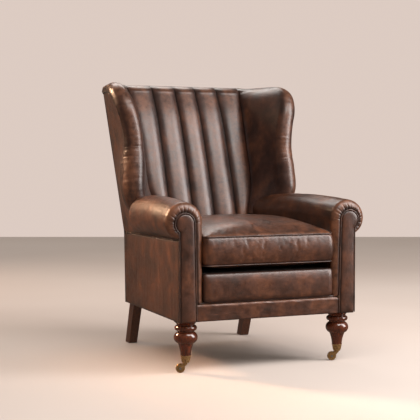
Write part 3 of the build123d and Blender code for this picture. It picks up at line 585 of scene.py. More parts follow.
def stem_inner(height):
    """Half width of the inner edge of the facing's stem."""
    share = (height - STEM_FOOT_HEIGHT) / (HEAD_HEIGHT - STEM_FOOT_HEIGHT)
    return mix(STEM_INNER_FOOT, HEAD_HALF - HEAD_RADIUS, share)


def arm_outline(depth, foot):
    """The arm's outline from its inner foot, over the roll and down to the outer seam."""
    half, height, radius = roll(depth)
    points = [(half - radius, mix(foot, height, share)) for share in shares(LEG_STEPS)[:-1]]
    points += [swing(half, height, radius, math.pi * (1 - share)) for share in shares(TOP_STEPS)[:-1]]
    across, drop = side_half(0, depth) - half, seam_height(depth) - height
    for share in shares(LOWER_STEPS):
        reach = mix(radius, math.hypot(across, drop), share**2)
        points.append(swing(half, height, reach, math.atan2(drop, across) * share))
    return points


def stem_edge(foot, room, steps):
    """Points up the inner edge of the facing's stem, moved in by some room."""
    heights = [mix(foot, HEAD_HEIGHT, share) for share in shares(steps)[:-1]]
    return [(stem_inner(height) - room, height) for height in heights]


def rim_outline(room):
    """An outline round the facing, point for point with the arm's outline."""
    points = stem_edge(RETURN_FOOT, room, LEG_STEPS)
    reach = HEAD_RADIUS + room
    outer = FACING_OUTER + room / 2
    curl = math.acos(min((outer - HEAD_HALF) / reach, 1))
    low = HEAD_HEIGHT - reach * math.sin(curl)
    for share in shares(TOP_STEPS)[:-1]:
        points.append(swing(HEAD_HALF, HEAD_HEIGHT, reach, math.pi * (1 - share)))
    for share in shares(LOWER_STEPS):
        if share <= CURL_SHARE:
            points.append(swing(HEAD_HALF, HEAD_HEIGHT, reach, -curl * share / CURL_SHARE))
        else:
            drop = (share - CURL_SHARE) / (1 - CURL_SHARE)
            points.append((outer, mix(low, SEAM_FRONT + GAP, drop)))
    return points


def arm_underside(depth, foot):
    """The hidden part of the arm's outline, on its board and down its hollow side."""
    outer, inner = side_half(0, depth), side_half(HOLLOW_INSET, depth)
    under = seam_height(depth) + GAP
    points = [(mix(outer, inner, share), under) for share in (0.06, 0.4, 0.8, 1.0)]
    points += [(inner, mix(under, foot, share)) for share in shares(4, 1)]
    points.append((mix(inner, side_half(ARM_INSET, depth), 0.5), foot))
    return points


def arm_rings():
    """Rings of the arm leather, their depths and their shares of the rim: round the rim from the
    facing's welt, then back along the roll."""
    outer, inner = arm_outline(RIM_DEPTH, RETURN_FOOT), rim_outline(WELT_ROOM)
    hidden = arm_underside(RIM_DEPTH, RETURN_FOOT)
    tuck = [place(half, FACING_BACK, height) for half, height in rim_outline(TUCK_ROOM) + hidden]
    rows = [(tuck, RIM_FRONT, 1)]
    for turned in shares(RIM_TURNS):
        angle = math.pi / 2 * (1 - turned)
        share = 1 - math.cos(angle)
        depth = RIM_DEPTH - (RIM_DEPTH - RIM_FRONT) * math.sin(angle)
        depth += RIM_DIP * max(angle / (math.pi / 2) * 4 - 3, 0) ** 1.5
        ring = [place(mix(a, c, share), depth, mix(b, d, share)) for (a, b), (c, d) in zip(outer, inner)]
        ring += [place(half, max(depth, HIDDEN_DEPTH), height) for half, height in hidden]
        rows.append((ring, depth, 1 - turned))
    for share in shares(ROLL_ROWS, 1):
        depth = mix(RIM_DEPTH, ARM_END, share)
        limit = side_half(ROLL_CUT, depth)
        cut = ease((depth - ROLL_END + CUT_LENGTH) / CUT_LENGTH)
        outline = arm_outline(depth, DECK_LEVEL) + arm_underside(depth, DECK_LEVEL)
        ring = [place(mix(half, min(half, limit), cut), depth, height) for half, height in outline]
        rows.append((ring, depth, 0))
    return zip(*rows)


def arm_turn(index):
    """Angle round the roll, in degrees, of a point of the outline: 180 inside, 0 outside."""
    if index < LEG_STEPS:
        return 180 + (LEG_STEPS - index) * 8
    if index < LEG_STEPS + TOP_STEPS:
        return 180 * (1 - (index - LEG_STEPS) / TOP_STEPS)
    return -68 * (index - LEG_STEPS - TOP_STEPS) / LOWER_STEPS


def arm_leather(side, word):
    rings, depths, rims = arm_rings()
    pleats = drawn(random.Random(11 + side), PLEATS, (-4, 4), (0.6, 1.0), (0.05, 0.45), (2.0, 3.2))
    for index, pleat in enumerate(pleats):
        pleat[0] += mix(PLEAT_FIRST, PLEAT_LAST, (index + 0.5) / PLEATS)
    shown = LEG_STEPS + TOP_STEPS + LOWER_STEPS + 1

    def relief(row, index):
        if index >= shown:
            return 0
        turn, rim = arm_turn(index), rims[row]
        lift = ripple(rings[row][index], ARM_WAVES, side * 7)
        for middle, depth, start, width in pleats:
            away = abs(turn - middle)
            if away > width * 4:
                continue
            reach = ease((rim - start) / (1 - start)) if rim > 0 else 0
            behind = max(depths[row] - RIM_DEPTH, 0)
            tail = TAIL_DEPTH * math.exp(-behind / TAIL_LENGTH) if start < LONG_PLEAT else 0
            fold = groove(away, width) - SHOULDER_HEIGHT * groove(away, width * SHOULDER_WIDTH)
            lift -= PLEAT_DEPTH * depth * fold * max(reach, tail)
        return lift * 0.5 if rim > 0.94 else lift

    # Painted shade at the rim's tuck into the facing, on the hidden part of the outline and near the wing
    # at the rear
    def seam(row, index):
        if index >= shown:
            return 1
        rim = ease((rims[row] - 0.72) / 0.28)
        end = ease((index - shown + 5) / 4)
        rear = ease((depths[row] - ROLL_END + 0.02) / 0.02) if arm_turn(index) < 60 else 0
        return max(rim, end, rear * 0.8)

    def wear(row, index):
        rim = rims[row]
        return 0.35 * ease(rim / 0.4) * ease((0.9 - rim) / 0.3) if 0 < rim < 0.9 else 0

    piece = loft("arm_leather_" + word, rings, side, relief, seam, wear)
    finish_piece(piece, LEATHER, "leather", "arm_pad_" + word, fill=0.8)


# Arm facings and their welts. A facing bulges from its edge to a core line up its middle: shares
# of the way to the core, each with its depth.
FACING_PROFILE = (
    (0.0, 0.0078), (0.0, 0.0035), (0.03, 0.0012), (0.09, -0.0006), (0.18, -0.0018),
    (0.34, -0.0027), (0.55, -0.0032), (0.78, -0.0035), (0.97, -0.0036),
)
STEM_STEPS, HEAD_STEPS, FOOT_STEPS = 40, 56, 7
CORE_RISE, CORE_FOOT = 0.07, 0.03
FACING_WELT_DEPTH = 0.0030


def keyhole(grow, foot):
    """Keyhole outline from the foot of its inner edge, over the head, down to the outer foot."""
    reach = HEAD_RADIUS + grow
    outer = FACING_OUTER + grow
    curl = math.acos(min((outer - HEAD_HALF) / reach, 1))
    low = HEAD_HEIGHT - reach * math.sin(curl)
    points = stem_edge(foot, grow, STEM_STEPS)
    for share in shares(HEAD_STEPS):
        points.append(swing(HEAD_HALF, HEAD_HEIGHT, reach, mix(math.pi, -curl, share)))
    return points + [(outer, mix(low, foot, share)) for share in shares(STEM_STEPS, 1)]


def facing(side, word):
    outline = keyhole(0, BASE_FRONT)
    inner, outer = outline[0][0], outline[-1][0]
    middle = (inner + outer) / 2
    foot_shares = [(step + 0.5) / FOOT_STEPS for step in range(FOOT_STEPS)]
    start = [(mix(middle, inner, share), BASE_FRONT) for share in foot_shares]
    end = [(mix(outer, middle, share), BASE_FRONT) for share in foot_shares]
    stem_middle = (STEM_INNER_FOOT + FACING_OUTER) / 2
    rings = [[] for _ in FACING_PROFILE]
    for half, height in start + outline + end:
        core_half = mix(stem_middle, HEAD_HALF, ease((height - HEAD_HEIGHT + CORE_RISE) / CORE_RISE))
        core_height = min(max(height, BASE_FRONT + CORE_FOOT), HEAD_HEIGHT)
        for ring, (share, depth) in zip(rings, FACING_PROFILE):
            ring.append(place(mix(half, core_half, share), depth, mix(height, core_height, share)))

    def relief(row, index):
        return ripple(rings[row][index], FACING_WAVES, side * 3) * ease(FACING_PROFILE[row][0] / 0.2)

    # Painted shade on the facing's rounded edge towards its welt
    def seam(row, index):
        return fade(FACING_PROFILE[row][0], 0.16)

    piece = loft("facing_leather_" + word, rings, side, relief, seam)
    finish_piece(piece, LEATHER, "leather", "arm_facing_" + word, fill=0.5)
    welt_line = keyhole(GAP + WELT, BASE_FRONT + WELT)
    path = [place(half, FACING_WELT_DEPTH, height) for half, height in welt_line]
    welt("facing_piping_" + word, path, "facing_welt_" + word, side=side)


# Outside of the arms, with the welts above them. The panel's rear edge leans back by its lean.
ARM_PANEL_HEIGHT, ARM_PANEL_LEAN, ARM_PANEL_PROUD = 0.29, 0.012, 0.0012
ARM_PANEL_THICKNESS, ARM_PANEL_EDGE = 0.0048, 0.0045
ARM_WELT_INSET, ARM_WELT_SHORT = 0.0024, 0.008


def outside_arm(side, word):
    def point(u, v):
        depth = mix(PANEL_FRONT, BODY_DEPTH - REAR_COVER, u) + ARM_PANEL_LEAN * v * u
        low, high = base_height(depth), seam_height(depth) - 2 * WELT - GAP
        return place(side_half(0, depth), depth, mix(low, high, v))

    def lift(base):
        pull = 0.0005 * waver(base.y * 60, base.z * 9, side)
        return ARM_PANEL_PROUD + ripple(base, ARM_PANEL_WAVES, side * 5) + pull

    slope = math.atan2(HALF_FRONT - HALF_REAR, BODY_DEPTH)
    outward = Vector((math.cos(slope), math.sin(slope), 0))
    size = (BODY_DEPTH - PANEL_FRONT, ARM_PANEL_HEIGHT)
    piece = panel(
        "outside_arm_leather_" + word, point, outward, size, ARM_PANEL_THICKNESS, ARM_PANEL_EDGE,
        side, lift=lift,
    )
    finish_piece(piece, LEATHER, "leather", "outside_arm_" + word, fill=0.2)


def arm_piping():
    for side, word in SIDES:
        path = []
        for share in shares(120):
            depth = mix(PANEL_FRONT, BODY_DEPTH - ARM_WELT_SHORT, share)
            path.append(place(side_half(ARM_WELT_INSET, depth), depth, seam_height(depth) - WELT))
        welt("arm_piping_" + word, path, "arm_welts", side=side)


# Front of the seat. The border's face turns back at its upper edge more slowly than at its lower.
BORDER_HALF, BORDER_LOW, BORDER_HIGH = 0.2612, 0.2496, 0.3535
BORDER_EDGE, BORDER_BULGE, BORDER_BELLY, BORDER_CORNER = 0.0105, 0.0125, 0.0030, 0.013
TURN_END, TURN_UPPER, TURN_LOWER = 0.022, 0.036, 0.018
# Puckers along the border's seams, its slower waves, and the width of the painted shade along its seams
PUCKER_DEPTH, PUCKER_REACH, PUCKERS = 0.0011, 0.012, 130
BORDER_WAVE, BORDER_WAVES, BORDER_SEAM_SHADE = 0.0008, 14, 0.009


def squircle(across, up, half, rise, corner):
    """Rounds the corners of a rectangle, point by point."""
    over_x, over_z = abs(across) - (half - corner), abs(up) - (rise - corner)
    if over_x <= 0 or over_z <= 0:
        return across, up
    pull = max(over_x, over_z) / math.hypot(over_x, over_z)
    return (
        math.copysign(half - corner + over_x * pull, across),
        math.copysign(rise - corner + over_z * pull, up),
    )


def seat_border():
    middle, rise = (BORDER_LOW + BORDER_HIGH) / 2, (BORDER_HIGH - BORDER_LOW) / 2

    def sample(row, column):
        u, v = 2 * column - 1, 2 * row - 1
        across, up = squircle(u * BORDER_HALF, v * rise, BORDER_HALF, rise, BORDER_CORNER)
        edge_x, edge_z = (1 - abs(u)) * BORDER_HALF, (1 - abs(v)) * rise
        bulge_x = quarter_round(edge_x / TURN_END)
        bulge_z = quarter_round(edge_z / (TURN_UPPER if v > 0 else TURN_LOWER))
        depth = BORDER_EDGE - BORDER_BULGE * bulge_x * bulge_z
        depth -= BORDER_BELLY * (1 - v * v) * bulge_x
        pucker = math.exp(-edge_z / PUCKER_REACH) * waver(across * PUCKERS, v, 4)
        wave = waver(across * BORDER_WAVES, up * BORDER_WAVES, 2)
        depth += PUCKER_DEPTH * pucker + BORDER_WAVE * wave
        height = middle + up
        # Painted shade along the border's edges
        tone = fade(min(edge_x, edge_z), BORDER_SEAM_SHADE)
        return place(across, depth, height), place(across, RETURN_REAR, height), 0, tone

    rows, columns = stations(2 * rise, 0.005, 0.018), stations(2 * BORDER_HALF, 0.006, 0.03)
    piece = skin("seat_border_leather", rows, columns, sample)
    finish_piece(piece, LEATHER, "leather", "seat_border", fill=0.7)


PLINTH_HALF, PLINTH_TOP, PLINTH_DEPTH = 0.2885, 0.2437, 0.0030
PLINTH_LIP, PLINTH_DEEPEST = 0.0105, 0.016
PLINTH_FOOT_EDGE, PLINTH_END_EDGE = 0.004, 0.007
PLINTH_WAVE, LIP_CREASE = 0.0007, 0.0020
PLINTH_WELT_BACK, PLINTH_WELT_UP, PLINTH_WELT_WAVE = 0.0085, 0.0025, 0.0005


def plinth():
    """The band under the seat, with a rounded and slightly creased upper lip."""
    low, high = BASE_FRONT - 0.0001, PLINTH_TOP + 0.0035
    heights = [low + 0.0008, low + 0.002]
    heights += [mix(low, high - PLINTH_LIP, share) for share in shares(12, 1)]
    profile = [(height, edge_inset(height - low, PLINTH_FOOT_EDGE), 0) for height in heights]
    for share in shares(9, 1):
        lip = math.sin(math.pi / 2 * share)
        fall = 1 - math.cos(math.pi / 2 * share)
        profile.append((high - PLINTH_LIP * (1 - lip), PLINTH_LIP * fall, lip))

    def sample(row, u):
        height, fall, lip = row
        across = mix(-PLINTH_HALF, PLINTH_HALF, u)
        end = from_ends(u, 2 * PLINTH_HALF)
        crease = waver(across * 30 + height * 90, height * 210, 8)
        wave = PLINTH_WAVE * waver(across * 15, height * 16, 3)
        wave += LIP_CREASE * crease * math.sin(math.pi * min(lip * 0.9 + 0.1, 1))
        depth = min(PLINTH_DEPTH + edge_inset(end, PLINTH_END_EDGE) + fall + wave, PLINTH_DEEPEST)
        # Painted shade at the band's ends, over the lip's turn and along its foot
        tone = max(fade(end, 0.012), ease((lip - 0.82) / 0.18), fade(height - low, 0.006))
        # Rubbed wear along the lip, which also serves as a painted highlight there
        wear = 0.6 * math.sin(math.pi * min(lip, 1)) * (0.5 + 0.8 * crease)
        return place(across, depth, height), place(across, RETURN_REAR, height), 0, tone, wear

    piece = skin("plinth_leather", profile, stations(2 * PLINTH_HALF, 0.006, 0.008), sample)
    finish_piece(piece, LEATHER, "leather", "plinth_band", fill=0.3)
    path = []
    for across in [mix(-PLINTH_HALF, PLINTH_HALF, share) for share in shares(160)]:
        wave = PLINTH_WELT_WAVE * waver(across * 22, 0, 9)
        height = PLINTH_TOP + PLINTH_WELT_UP + WELT + wave
        path.append(place(across, PLINTH_DEPTH + PLINTH_WELT_BACK, height))
    welt("plinth_piping", path, "plinth_welt", wobble=0.15)


# Inside back. Tables give the pad's thickness and its side seams at shares of the back's height.
BACK_FOOT = 0.354
PAD_FOOT, PAD_TOP = 0.1716, 0.0577
PAD_HEIGHT_SHARES = (0.0, 0.13, 0.26, 0.435, 0.66, 0.88, 1.0)
PAD_SHARES = (1.0, 0.963, 0.917, 0.775, 0.551, 0.262, 0.0)
SEAM_SHARES = (0.0, 0.0, 0.0, 0.62, 0.73, 0.87, 1.0)
BACK_SEAM_FOOT, BACK_SEAM_TOP = 0.201, 0.255
FLUTE_SEAMS = (0.046, 0.146)
FLUTE_PROUD, FLUTE_STEPS = 0.0185, 18
PAD_REAR, CREST_REAR = 0.040, 0.0066
CREST_FALL, CREST_REAR_FALL = 0.043, 0.006
# How round a flute is, how much flatter it gets over the crest, its waves, the width of the painted
# shade in the valleys between the flutes, and the painted shade of the back's hidden side
FLUTE_POWER, FLUTE_ROUND, CREST_FLATTER = 2.3, 0.72, 0.55
FLUTE_WAVE, FLUTE_SEAM, HIDDEN_SHADE = 0.0009, 0.011, 0.6
BACK_ROWS, CREST_ROWS = 74, 14


def smooth_table(values, share):
    """A smooth curve through the values, which stand at the shares of the back's height."""
    spans = list(zip(PAD_HEIGHT_SHARES, PAD_HEIGHT_SHARES[1:], values, values[1:]))
    rises = [(after - before) / (high - low) for low, high, before, after in spans]
    slopes = [rises[0]] + [(one + two) / 2 for one, two in zip(rises, rises[1:])] + [rises[-1]]
    for (low, high, before, after), leave, arrive in zip(spans, slopes, slopes[1:]):
        if share <= high:
            at = (share - low) / (high - low)
            bend = (leave * (1 - at) - arrive * at) * at * (1 - at) * (high - low)
            return mix(before, after, at * at * (3 - 2 * at)) + bend
    return values[-1]


def back_seam(height):
    """Half width and depth of the seam between the inside back and a wing."""
    share = clamp((height - BACK_FOOT) / (FRAME_TOP - BACK_FOOT))
    half = mix(BACK_SEAM_FOOT, BACK_SEAM_TOP, smooth_table(SEAM_SHARES, share))
    thickness = mix(PAD_TOP, PAD_FOOT, smooth_table(PAD_SHARES, share))
    return half, rear_edge(height)[1] - thickness


def crest_turn(height):
    """How far the crest has turned over, from 0 at the top of the frame to 1 at its top."""
    return clamp((height - FRAME_TOP) / (CREST - FRAME_TOP))


def inside_back():
    heights = [mix(BACK_FOOT, FRAME_TOP, share) for share in shares(BACK_ROWS)]
    for share in shares(CREST_ROWS, 1):
        heights.append(mix(FRAME_TOP, CREST - 0.0005, math.sin(math.pi / 2 * share)))
    rings, tones, wears = [], [], []
    for height in heights:
        half, depth = back_seam(height)
        over = crest_turn(height)
        fallen = 1 - math.sqrt(1 - over**2)
        depth += CREST_FALL * fallen
        rear_inset = mix(PAD_REAR, CREST_REAR, ease((height - FRAME_TOP) / 0.004))
        rear = rear_edge(height)[1] - rear_inset - CREST_REAR_FALL * fallen
        proud = FLUTE_PROUD * (1 - CREST_FLATTER * over**2)
        seams = [-half, *(-seam for seam in reversed(FLUTE_SEAMS)), *FLUTE_SEAMS, half]
        front, tone, wear = [], [], []
        for left, right in zip(seams, seams[1:]):
            for step in range(FLUTE_STEPS):
                across = -math.cos(math.pi * step / FLUTE_STEPS)
                swell = (1 - abs(across) ** FLUTE_POWER) ** FLUTE_ROUND if step else 0
                x = mix(left, right, (across + 1) / 2)
                wave = FLUTE_WAVE * waver(x * 9, height * 11, 5)
                front.append(place(x, depth - proud * swell - wave * swell, height))
                # Painted shade in the valleys between the flutes
                tone.append(fade((1 - abs(across)) / 2 * (right - left), FLUTE_SEAM))
                wear.append(0.25 * ease((swell - 0.75) / 0.25))
        front.append(place(half, depth, height))
        back = [place(mix(half, -half, share), rear, height) for share in shares(4)]
        rings.append(front + back)
        # The seam and the hidden side get painted shade
        tones.append(tone + [1] + [HIDDEN_SHADE] * len(back))
        wears.append(wear)
    piece = loft("back_leather_flutes", rings, seam=tones, wear=wears)
    finish_piece(piece, BACK_LEATHER, "leather", "inside_back", fill=0.8)


# Wings. The rolled edge follows rows of half width, depth, height and radius, and how far its
# outer seam lies behind the line where the roll turns into the flat side.
WING_PATH = (
    (0.300, 0.530, 0.530, 0.028, 0.020),
    (0.308, 0.520, 0.565, 0.032, 0.026),
    (0.323, 0.515, 0.600, 0.0385, 0.030),
    (0.331, 0.514, 0.640, 0.0425, 0.037),
    (0.330, 0.518, 0.685, 0.0435, 0.042),
    (0.3270, 0.523, 0.730, 0.0425, 0.036),
    (0.3245, 0.528, 0.765, 0.0398, 0.018),
    (0.3238, 0.533, 0.800, 0.038, 0.001),
    (0.3250, 0.537, 0.835, 0.038, -0.008),
    (0.3295, 0.541, 0.872, 0.038, -0.010),
    (0.3370, 0.5455, 0.910, 0.038, -0.010),
    (0.3465, 0.551, 0.945, 0.038, -0.012),
    (0.3550, 0.566, 0.978, 0.037, -0.015),
    (0.3600, 0.592, 1.006, 0.0355, -0.013),
    (0.3600, 0.628, 1.0225, 0.0335, -0.004),
    (0.355, 0.672, 1.030, 0.0305, 0.003),
    (0.346, 0.722, 1.033, 0.028, 0.005),
    (0.336, 0.772, 1.0345, 0.0265, 0.005),
    (0.3255, 0.826, 1.0355, 0.0255, 0.005),
    (0.322, 0.849, 1.0355, 0.024, 0.005),
)
# The row where the edge stops rising as the wing's front and starts back over its top
WING_LEAD = 11
LEAD_SHARE, LEAD_HEIGHT = WING_LEAD / (len(WING_PATH) - 1), WING_PATH[WING_LEAD][2]
WING_ROWS = 190
ROLL_POINTS, FACE_POINTS = 46, 26
# Closely set first points of the roll, as distances past its outer seam
ROLL_EDGE = (0.0, 0.0010, 0.0028, 0.0055, 0.0095)
WING_SEAM_DROP, ROLL_PROUD, FACE_PUFF = 0.006, 0.0034, 0.0105
# The seam against the back: its inset, and how far it closes in and back over its last part
WING_SEAM_INSET, CLOSING_START, CLOSING_INSET, CLOSING_SETBACK = 0.002, 0.70, 0.014, 0.022
CAP_FOLD_SHARE, CAP_FOLD_DEPTH = 0.735, 0.0030
# Pulled folds across the roll, fewer and wider ones at its upper bend, and fine creases
FOLDS, BEND_FOLDS, BEND_FOLD_WIDTH, FOLD_DEPTH, FINE_DEPTH = 30, 3, 0.0022, 0.0008, 0.0006


def past_lead(share):
    return (share - LEAD_SHARE) / (1 - LEAD_SHARE)


def wing_seam(share):
    """The seam point on the inside back that belongs to a share of the rolled edge."""
    if share <= LEAD_SHARE:
        height = through(WING_PATH, share)[2]
        half, depth = back_seam(height)
        return place(half - WING_SEAM_INSET, depth + WING_SEAM_DROP, height)
    rise = past_lead(share)
    height = mix(LEAD_HEIGHT, CREST - 0.004, 1 - (1 - rise) ** 1.35)
    half, depth = back_seam(min(height, FRAME_TOP))
    over = crest_turn(height)
    closing = ease((rise - CLOSING_START) / (1 - CLOSING_START))
    inset = WING_SEAM_INSET * (1 + ease(rise / 0.4)) + CLOSING_INSET * closing
    setback = CREST_FALL * (1 - math.sqrt(1 - min(over, 0.999) ** 2))
    setback += WING_SEAM_DROP * (1 - over * 0.6) + CLOSING_SETBACK * closing
    return place(half - inset, depth + setback, height)


def wing_frame(share):
    """Middle, radius, outward and forward directions of the rolled edge."""
    half, depth, height, radius, _ = through(WING_PATH, share)
    ahead = Vector(through(WING_PATH, min(share + 0.01, 1))[:3])
    behind = Vector(through(WING_PATH, max(share - 0.01, 0))[:3])
    along = (ahead - behind).normalized()
    forward = along.cross(Vector((1, 0, 0))).normalized()
    if forward.y > 0.2 or forward.z < -0.5:
        forward = -forward
    outward = forward.cross(along).normalized()
    if outward.x < 0:
        outward = -outward
    return place(half, depth, height), radius, outward, forward


def tangent_angle(centre, radius, outward, forward, target, turn):
    """Angle on the roll where a straight cover to the target leaves it."""
    way = target - centre
    across, ahead = way.dot(outward), way.dot(forward)
    distance = max(math.hypot(across, ahead), radius * 1.02)
    return math.atan2(ahead, across) + turn * math.acos(radius / distance)


def wing_rear(share):
    """The rear end of the outside cover that belongs to a share of the rolled edge."""
    height = through(WING_PATH, share)[2]
    if share > LEAD_SHARE:
        height = mix(LEAD_HEIGHT, FRAME_TOP - 0.002, past_lead(share))
    half, depth = rear_edge(height)
    return place(half, depth - REAR_COVER, height)


def wing_side(share):
    """The outer skin of a wing at a share: reads a point and its outward way at a distance along
    it, where 0 is the line that the roll leaves, less goes round the roll and more to the rear.
    Its outer seam, its length and the angle where it leaves the roll come with it."""
    centre, radius, outward, forward = wing_frame(share)
    rear = wing_rear(share)
    leave_angle = tangent_angle(centre, radius, outward, forward, rear, 1)

    def turn(angle):
        return outward * math.cos(angle) + forward * math.sin(angle)

    leave = centre + turn(leave_angle) * radius
    length = max((rear - leave).length, 0.002)
    back = (rear - leave) / length

    def read(distance):
        if distance >= 0:
            return leave + back * distance, turn(leave_angle)
        way = turn(leave_angle - distance / radius)
        return centre + way * radius, way

    return read, min(through(WING_PATH, share)[4], length * 0.8), length, leave_angle


def wing_ring(share):
    """One ring of the wing's leather, from its outer seam round the roll to the back's seam."""
    centre, radius, outward, forward = wing_frame(share)
    read, outer_seam, _, leave_angle = wing_side(share)
    seam = wing_seam(share)
    in_angle = tangent_angle(centre, radius, outward, forward, seam, -1)
    while in_angle < leave_angle:
        in_angle += math.tau
    reach = outer_seam + (in_angle - leave_angle) * radius
    distances = [*ROLL_EDGE, *(mix(0.015, reach, step) for step in shares(ROLL_POINTS - len(ROLL_EDGE)))]
    start, way = read(outer_seam)
    points = [start - way * 0.004]
    proud = ROLL_PROUD + 0.14 * max(outer_seam, 0)
    for distance in distances:
        point, way = read(outer_seam - distance)
        rise = quarter_round(distance / (0.004 + outer_seam * 0.18))
        points.append(point + way * (proud * fade(distance, 0.06) * rise - 0.0012 * (1 - rise)))
    leave = points[-1]
    face = seam - leave
    normal = outward * math.cos(in_angle) + forward * math.sin(in_angle)
    full = min(face.length / 0.15, 1)
    for across in shares(FACE_POINTS, 1):
        puff = FACE_PUFF * across**1.7 * (1 - across) ** 0.6 / 0.27 * full
        points.append(leave + face * across + normal * puff)
    points.append(seam + (centre - seam) * 0.12 - normal * 0.012)
    points.append(centre + (seam - centre) * 0.25 - normal * 0.004)
    return points


def wing_leather(side, word):
    rings = [wing_ring(share) for share in shares(WING_ROWS)]
    rolled = ROLL_POINTS + 2
    shown = rolled + FACE_POINTS
    draw = random.Random(31 + side)
    folds = drawn(draw, FOLDS, (0.10, 0.50), (0.4, 1.0), (0.0018, 0.0040))
    folds += [(*fold, BEND_FOLD_WIDTH) for fold in drawn(draw, BEND_FOLDS, (0.60, 0.68), (0.8, 1.3))]

    def relief(row, index):
        if index < 3 or index >= shown:
            return 0
        share = row / WING_ROWS
        lift = ripple(rings[row][index], WING_WAVES, side * 9)
        if index >= rolled + 8:
            return lift
        round_share = min(index / rolled, 1)
        band = math.sin(math.pi * round_share) ** 0.7
        bend = 0.004 * waver(round_share * 3, share * 30, side)
        for middle, depth, width in folds:
            away = abs(share + bend - middle)
            if away < width * 3:
                lift -= FOLD_DEPTH * depth * band * groove(away, width)
        fine = waver(round_share * 2.5, share * 95, side * 4)
        lift += FINE_DEPTH * fine * band * ease((0.56 - share) / 0.15)
        step = (share - CAP_FOLD_SHARE) / 0.004
        return lift - CAP_FOLD_DEPTH * ease(1 - round_share / 0.45) * ease(step * 0.5 + 0.5)

    # Painted shade at the outer seam, at the seam against the back, on the hidden part and in the cap's
    # fold
    def seam(row, index):
        if index >= shown:
            return 1
        back = ease((index - (shown - 5)) / 4)
        fold = fade(abs(row / WING_ROWS - CAP_FOLD_SHARE - 0.002), 0.005) if index < rolled * 0.3 else 0
        return max(fade(index - 2, 4), back, 0.8 * fold)

    def wear(row, index):
        return 0.25 * ease((math.sin(math.pi * index / rolled) - 0.6) / 0.4) if index <= rolled else 0

    piece = loft("wing_leather_" + word, rings, side, relief, seam, wear)
    finish_piece(piece, BACK_LEATHER, "leather", "wing_pad_" + word, fill=0.8)


# Outside of the wings: thickness of the cover, and the shares of the rolled edge that it spans
WING_COVER, COVER_EDGE = 0.005, 0.005
COVER_FIRST, COVER_LAST = 0.06, 0.985
COVER_ROWS, FOOT_ROWS = 120, 12
COVER_START, COVER_SUNK = 0.0008, 0.0006


def outside_wing(side, word):
    """The flat cover between the rolled edge and the rear edge, down to the arm's welt."""
    columns = stations(0.30, 0.006, 0.010)

    def upper_row(share):
        read, seam, length, _ = wing_side(share)
        start = min(seam, 0) + COVER_START
        face = [read(mix(start, length, u)) for u in columns]
        return [(point - way * COVER_SUNK, way) for point, way in face], length - start, max(seam, 0)

    meet, meet_width, meet_cover = upper_row(COVER_FIRST)
    front_foot = place(side_half(0, ROLL_END), ROLL_END, seam_height(ROLL_END) + GAP)
    rear_depth = BEND_DEPTH - REAR_COVER
    rear_foot = place(side_half(0, rear_depth), rear_depth, SEAM_REAR + GAP)
    foot = [front_foot.lerp(rear_foot, u) for u in columns]
    foot_width = (rear_foot - front_foot).length
    rows = []
    for share in shares(FOOT_ROWS)[:-1]:
        face = [(low.lerp(high, share), way) for low, (high, way) in zip(foot, meet)]
        rows.append((face, mix(foot_width, meet_width, share), meet_cover * share))
    rows += [upper_row(mix(COVER_FIRST, COVER_LAST, share)) for share in shares(COVER_ROWS)]

    def sample(row, column):
        (face, width, covered), (index, u) = row, column
        base, outward = face[index]
        border = from_ends(u, width)
        wave = ripple(base, WING_COVER_WAVES, side * 2) * ease(border / 0.03)
        inset = min(edge_inset(border, COVER_EDGE), 0.0044) - wave
        # Painted shade along the cover's edges, and a painted shadow where the roll's edge overhangs it
        tone = fade(min(border, abs(u * width - covered)), 0.010)
        return base - outward * inset, base - outward * WING_COVER, 0, tone

    piece = skin("outside_wing_leather_" + word, rows, list(enumerate(columns)), sample, side)
    finish_piece(piece, LEATHER, "leather", "outside_wing_" + word, fill=0.2)


# Outside back
OUTSIDE_BACK_TOP, OUTSIDE_BACK_WIDTH = 1.047, 0.62
OUTSIDE_BACK_THICKNESS, OUTSIDE_BACK_EDGE = 0.0058, 0.005
TOP_NARROWS, NARROWS_OVER = 0.0238, 0.04


def outside_back():
    low, high = BASE_REAR, OUTSIDE_BACK_TOP

    def point(u, v):
        height = mix(low, high, v)
        half, depth = rear_edge(height)
        half -= TOP_NARROWS * ease((height - TOP_HEIGHT) / NARROWS_OVER) ** 2
        return place(mix(-half, half, u), depth, height)

    def outward(v):
        height, step = mix(low, high, v), 0.002
        rise = rear_edge(height + step)[1] - rear_edge(height - step)[1]
        return Vector((0, 2 * step, -rise)).normalized()

    def lift(base):
        return ripple(base, BACK_WAVES) + ripple(base, BACK_DIMPLES)

    piece = panel(
        "outside_back_leather", point, outward, (OUTSIDE_BACK_WIDTH, high - low),
        OUTSIDE_BACK_THICKNESS, OUTSIDE_BACK_EDGE, step=0.011, lift=lift,
    )
    finish_piece(piece, LEATHER, "leather", "outside_back", fill=0.2)


# Seat cushion. Its top seam rises towards the middle of its depth, and its crown stands on that.
CUSHION_GAP = 0.004
CUSHION_FRONT, CUSHION_REAR = -0.002, 0.552
TOP_SEAM, BOTTOM_SEAM = 0.482, 0.380
SEAM_LIFT = 0.030
CROWN, SAG = 0.036, 0.0255
FRONT_BULGE, SIDE_BULGE = 0.0135, 0.003
CORNER_FRONT, CORNER_REAR, CORNER_TURNS = 0.020, 0.030, 12
BOTTOM_RINGS, SIDE_RINGS, TOP_RINGS = 18, 16, 34
COVER_POINTS, CORE_POINTS = 360, 160
COVER_INSET, CORE_INSET = 0.0006, 0.008
CUSHION_WELT, WELT_OUT = 0.0021, 0.0008
# How firmly the cover is held at its seams, out to a distance, and everywhere
HOLD_WIDTH, LEAST_HOLD = 0.012, 0.03
TUCKS, TUCK_DEPTH = 34, 0.0007
# How deep and wide the seams sink into the cover, and the width of the painted shade along them
SEAM_SINK, SEAM_SINK_WIDTH, SEAM_SHADE_WIDTH = 0.0012, 0.005, 0.0065
CROWN_SHARE, CROWN_EDGE = 0.62, 0.0060


def cushion_half(depth):
    return side_half(ARM_INSET + CUSHION_GAP, depth)


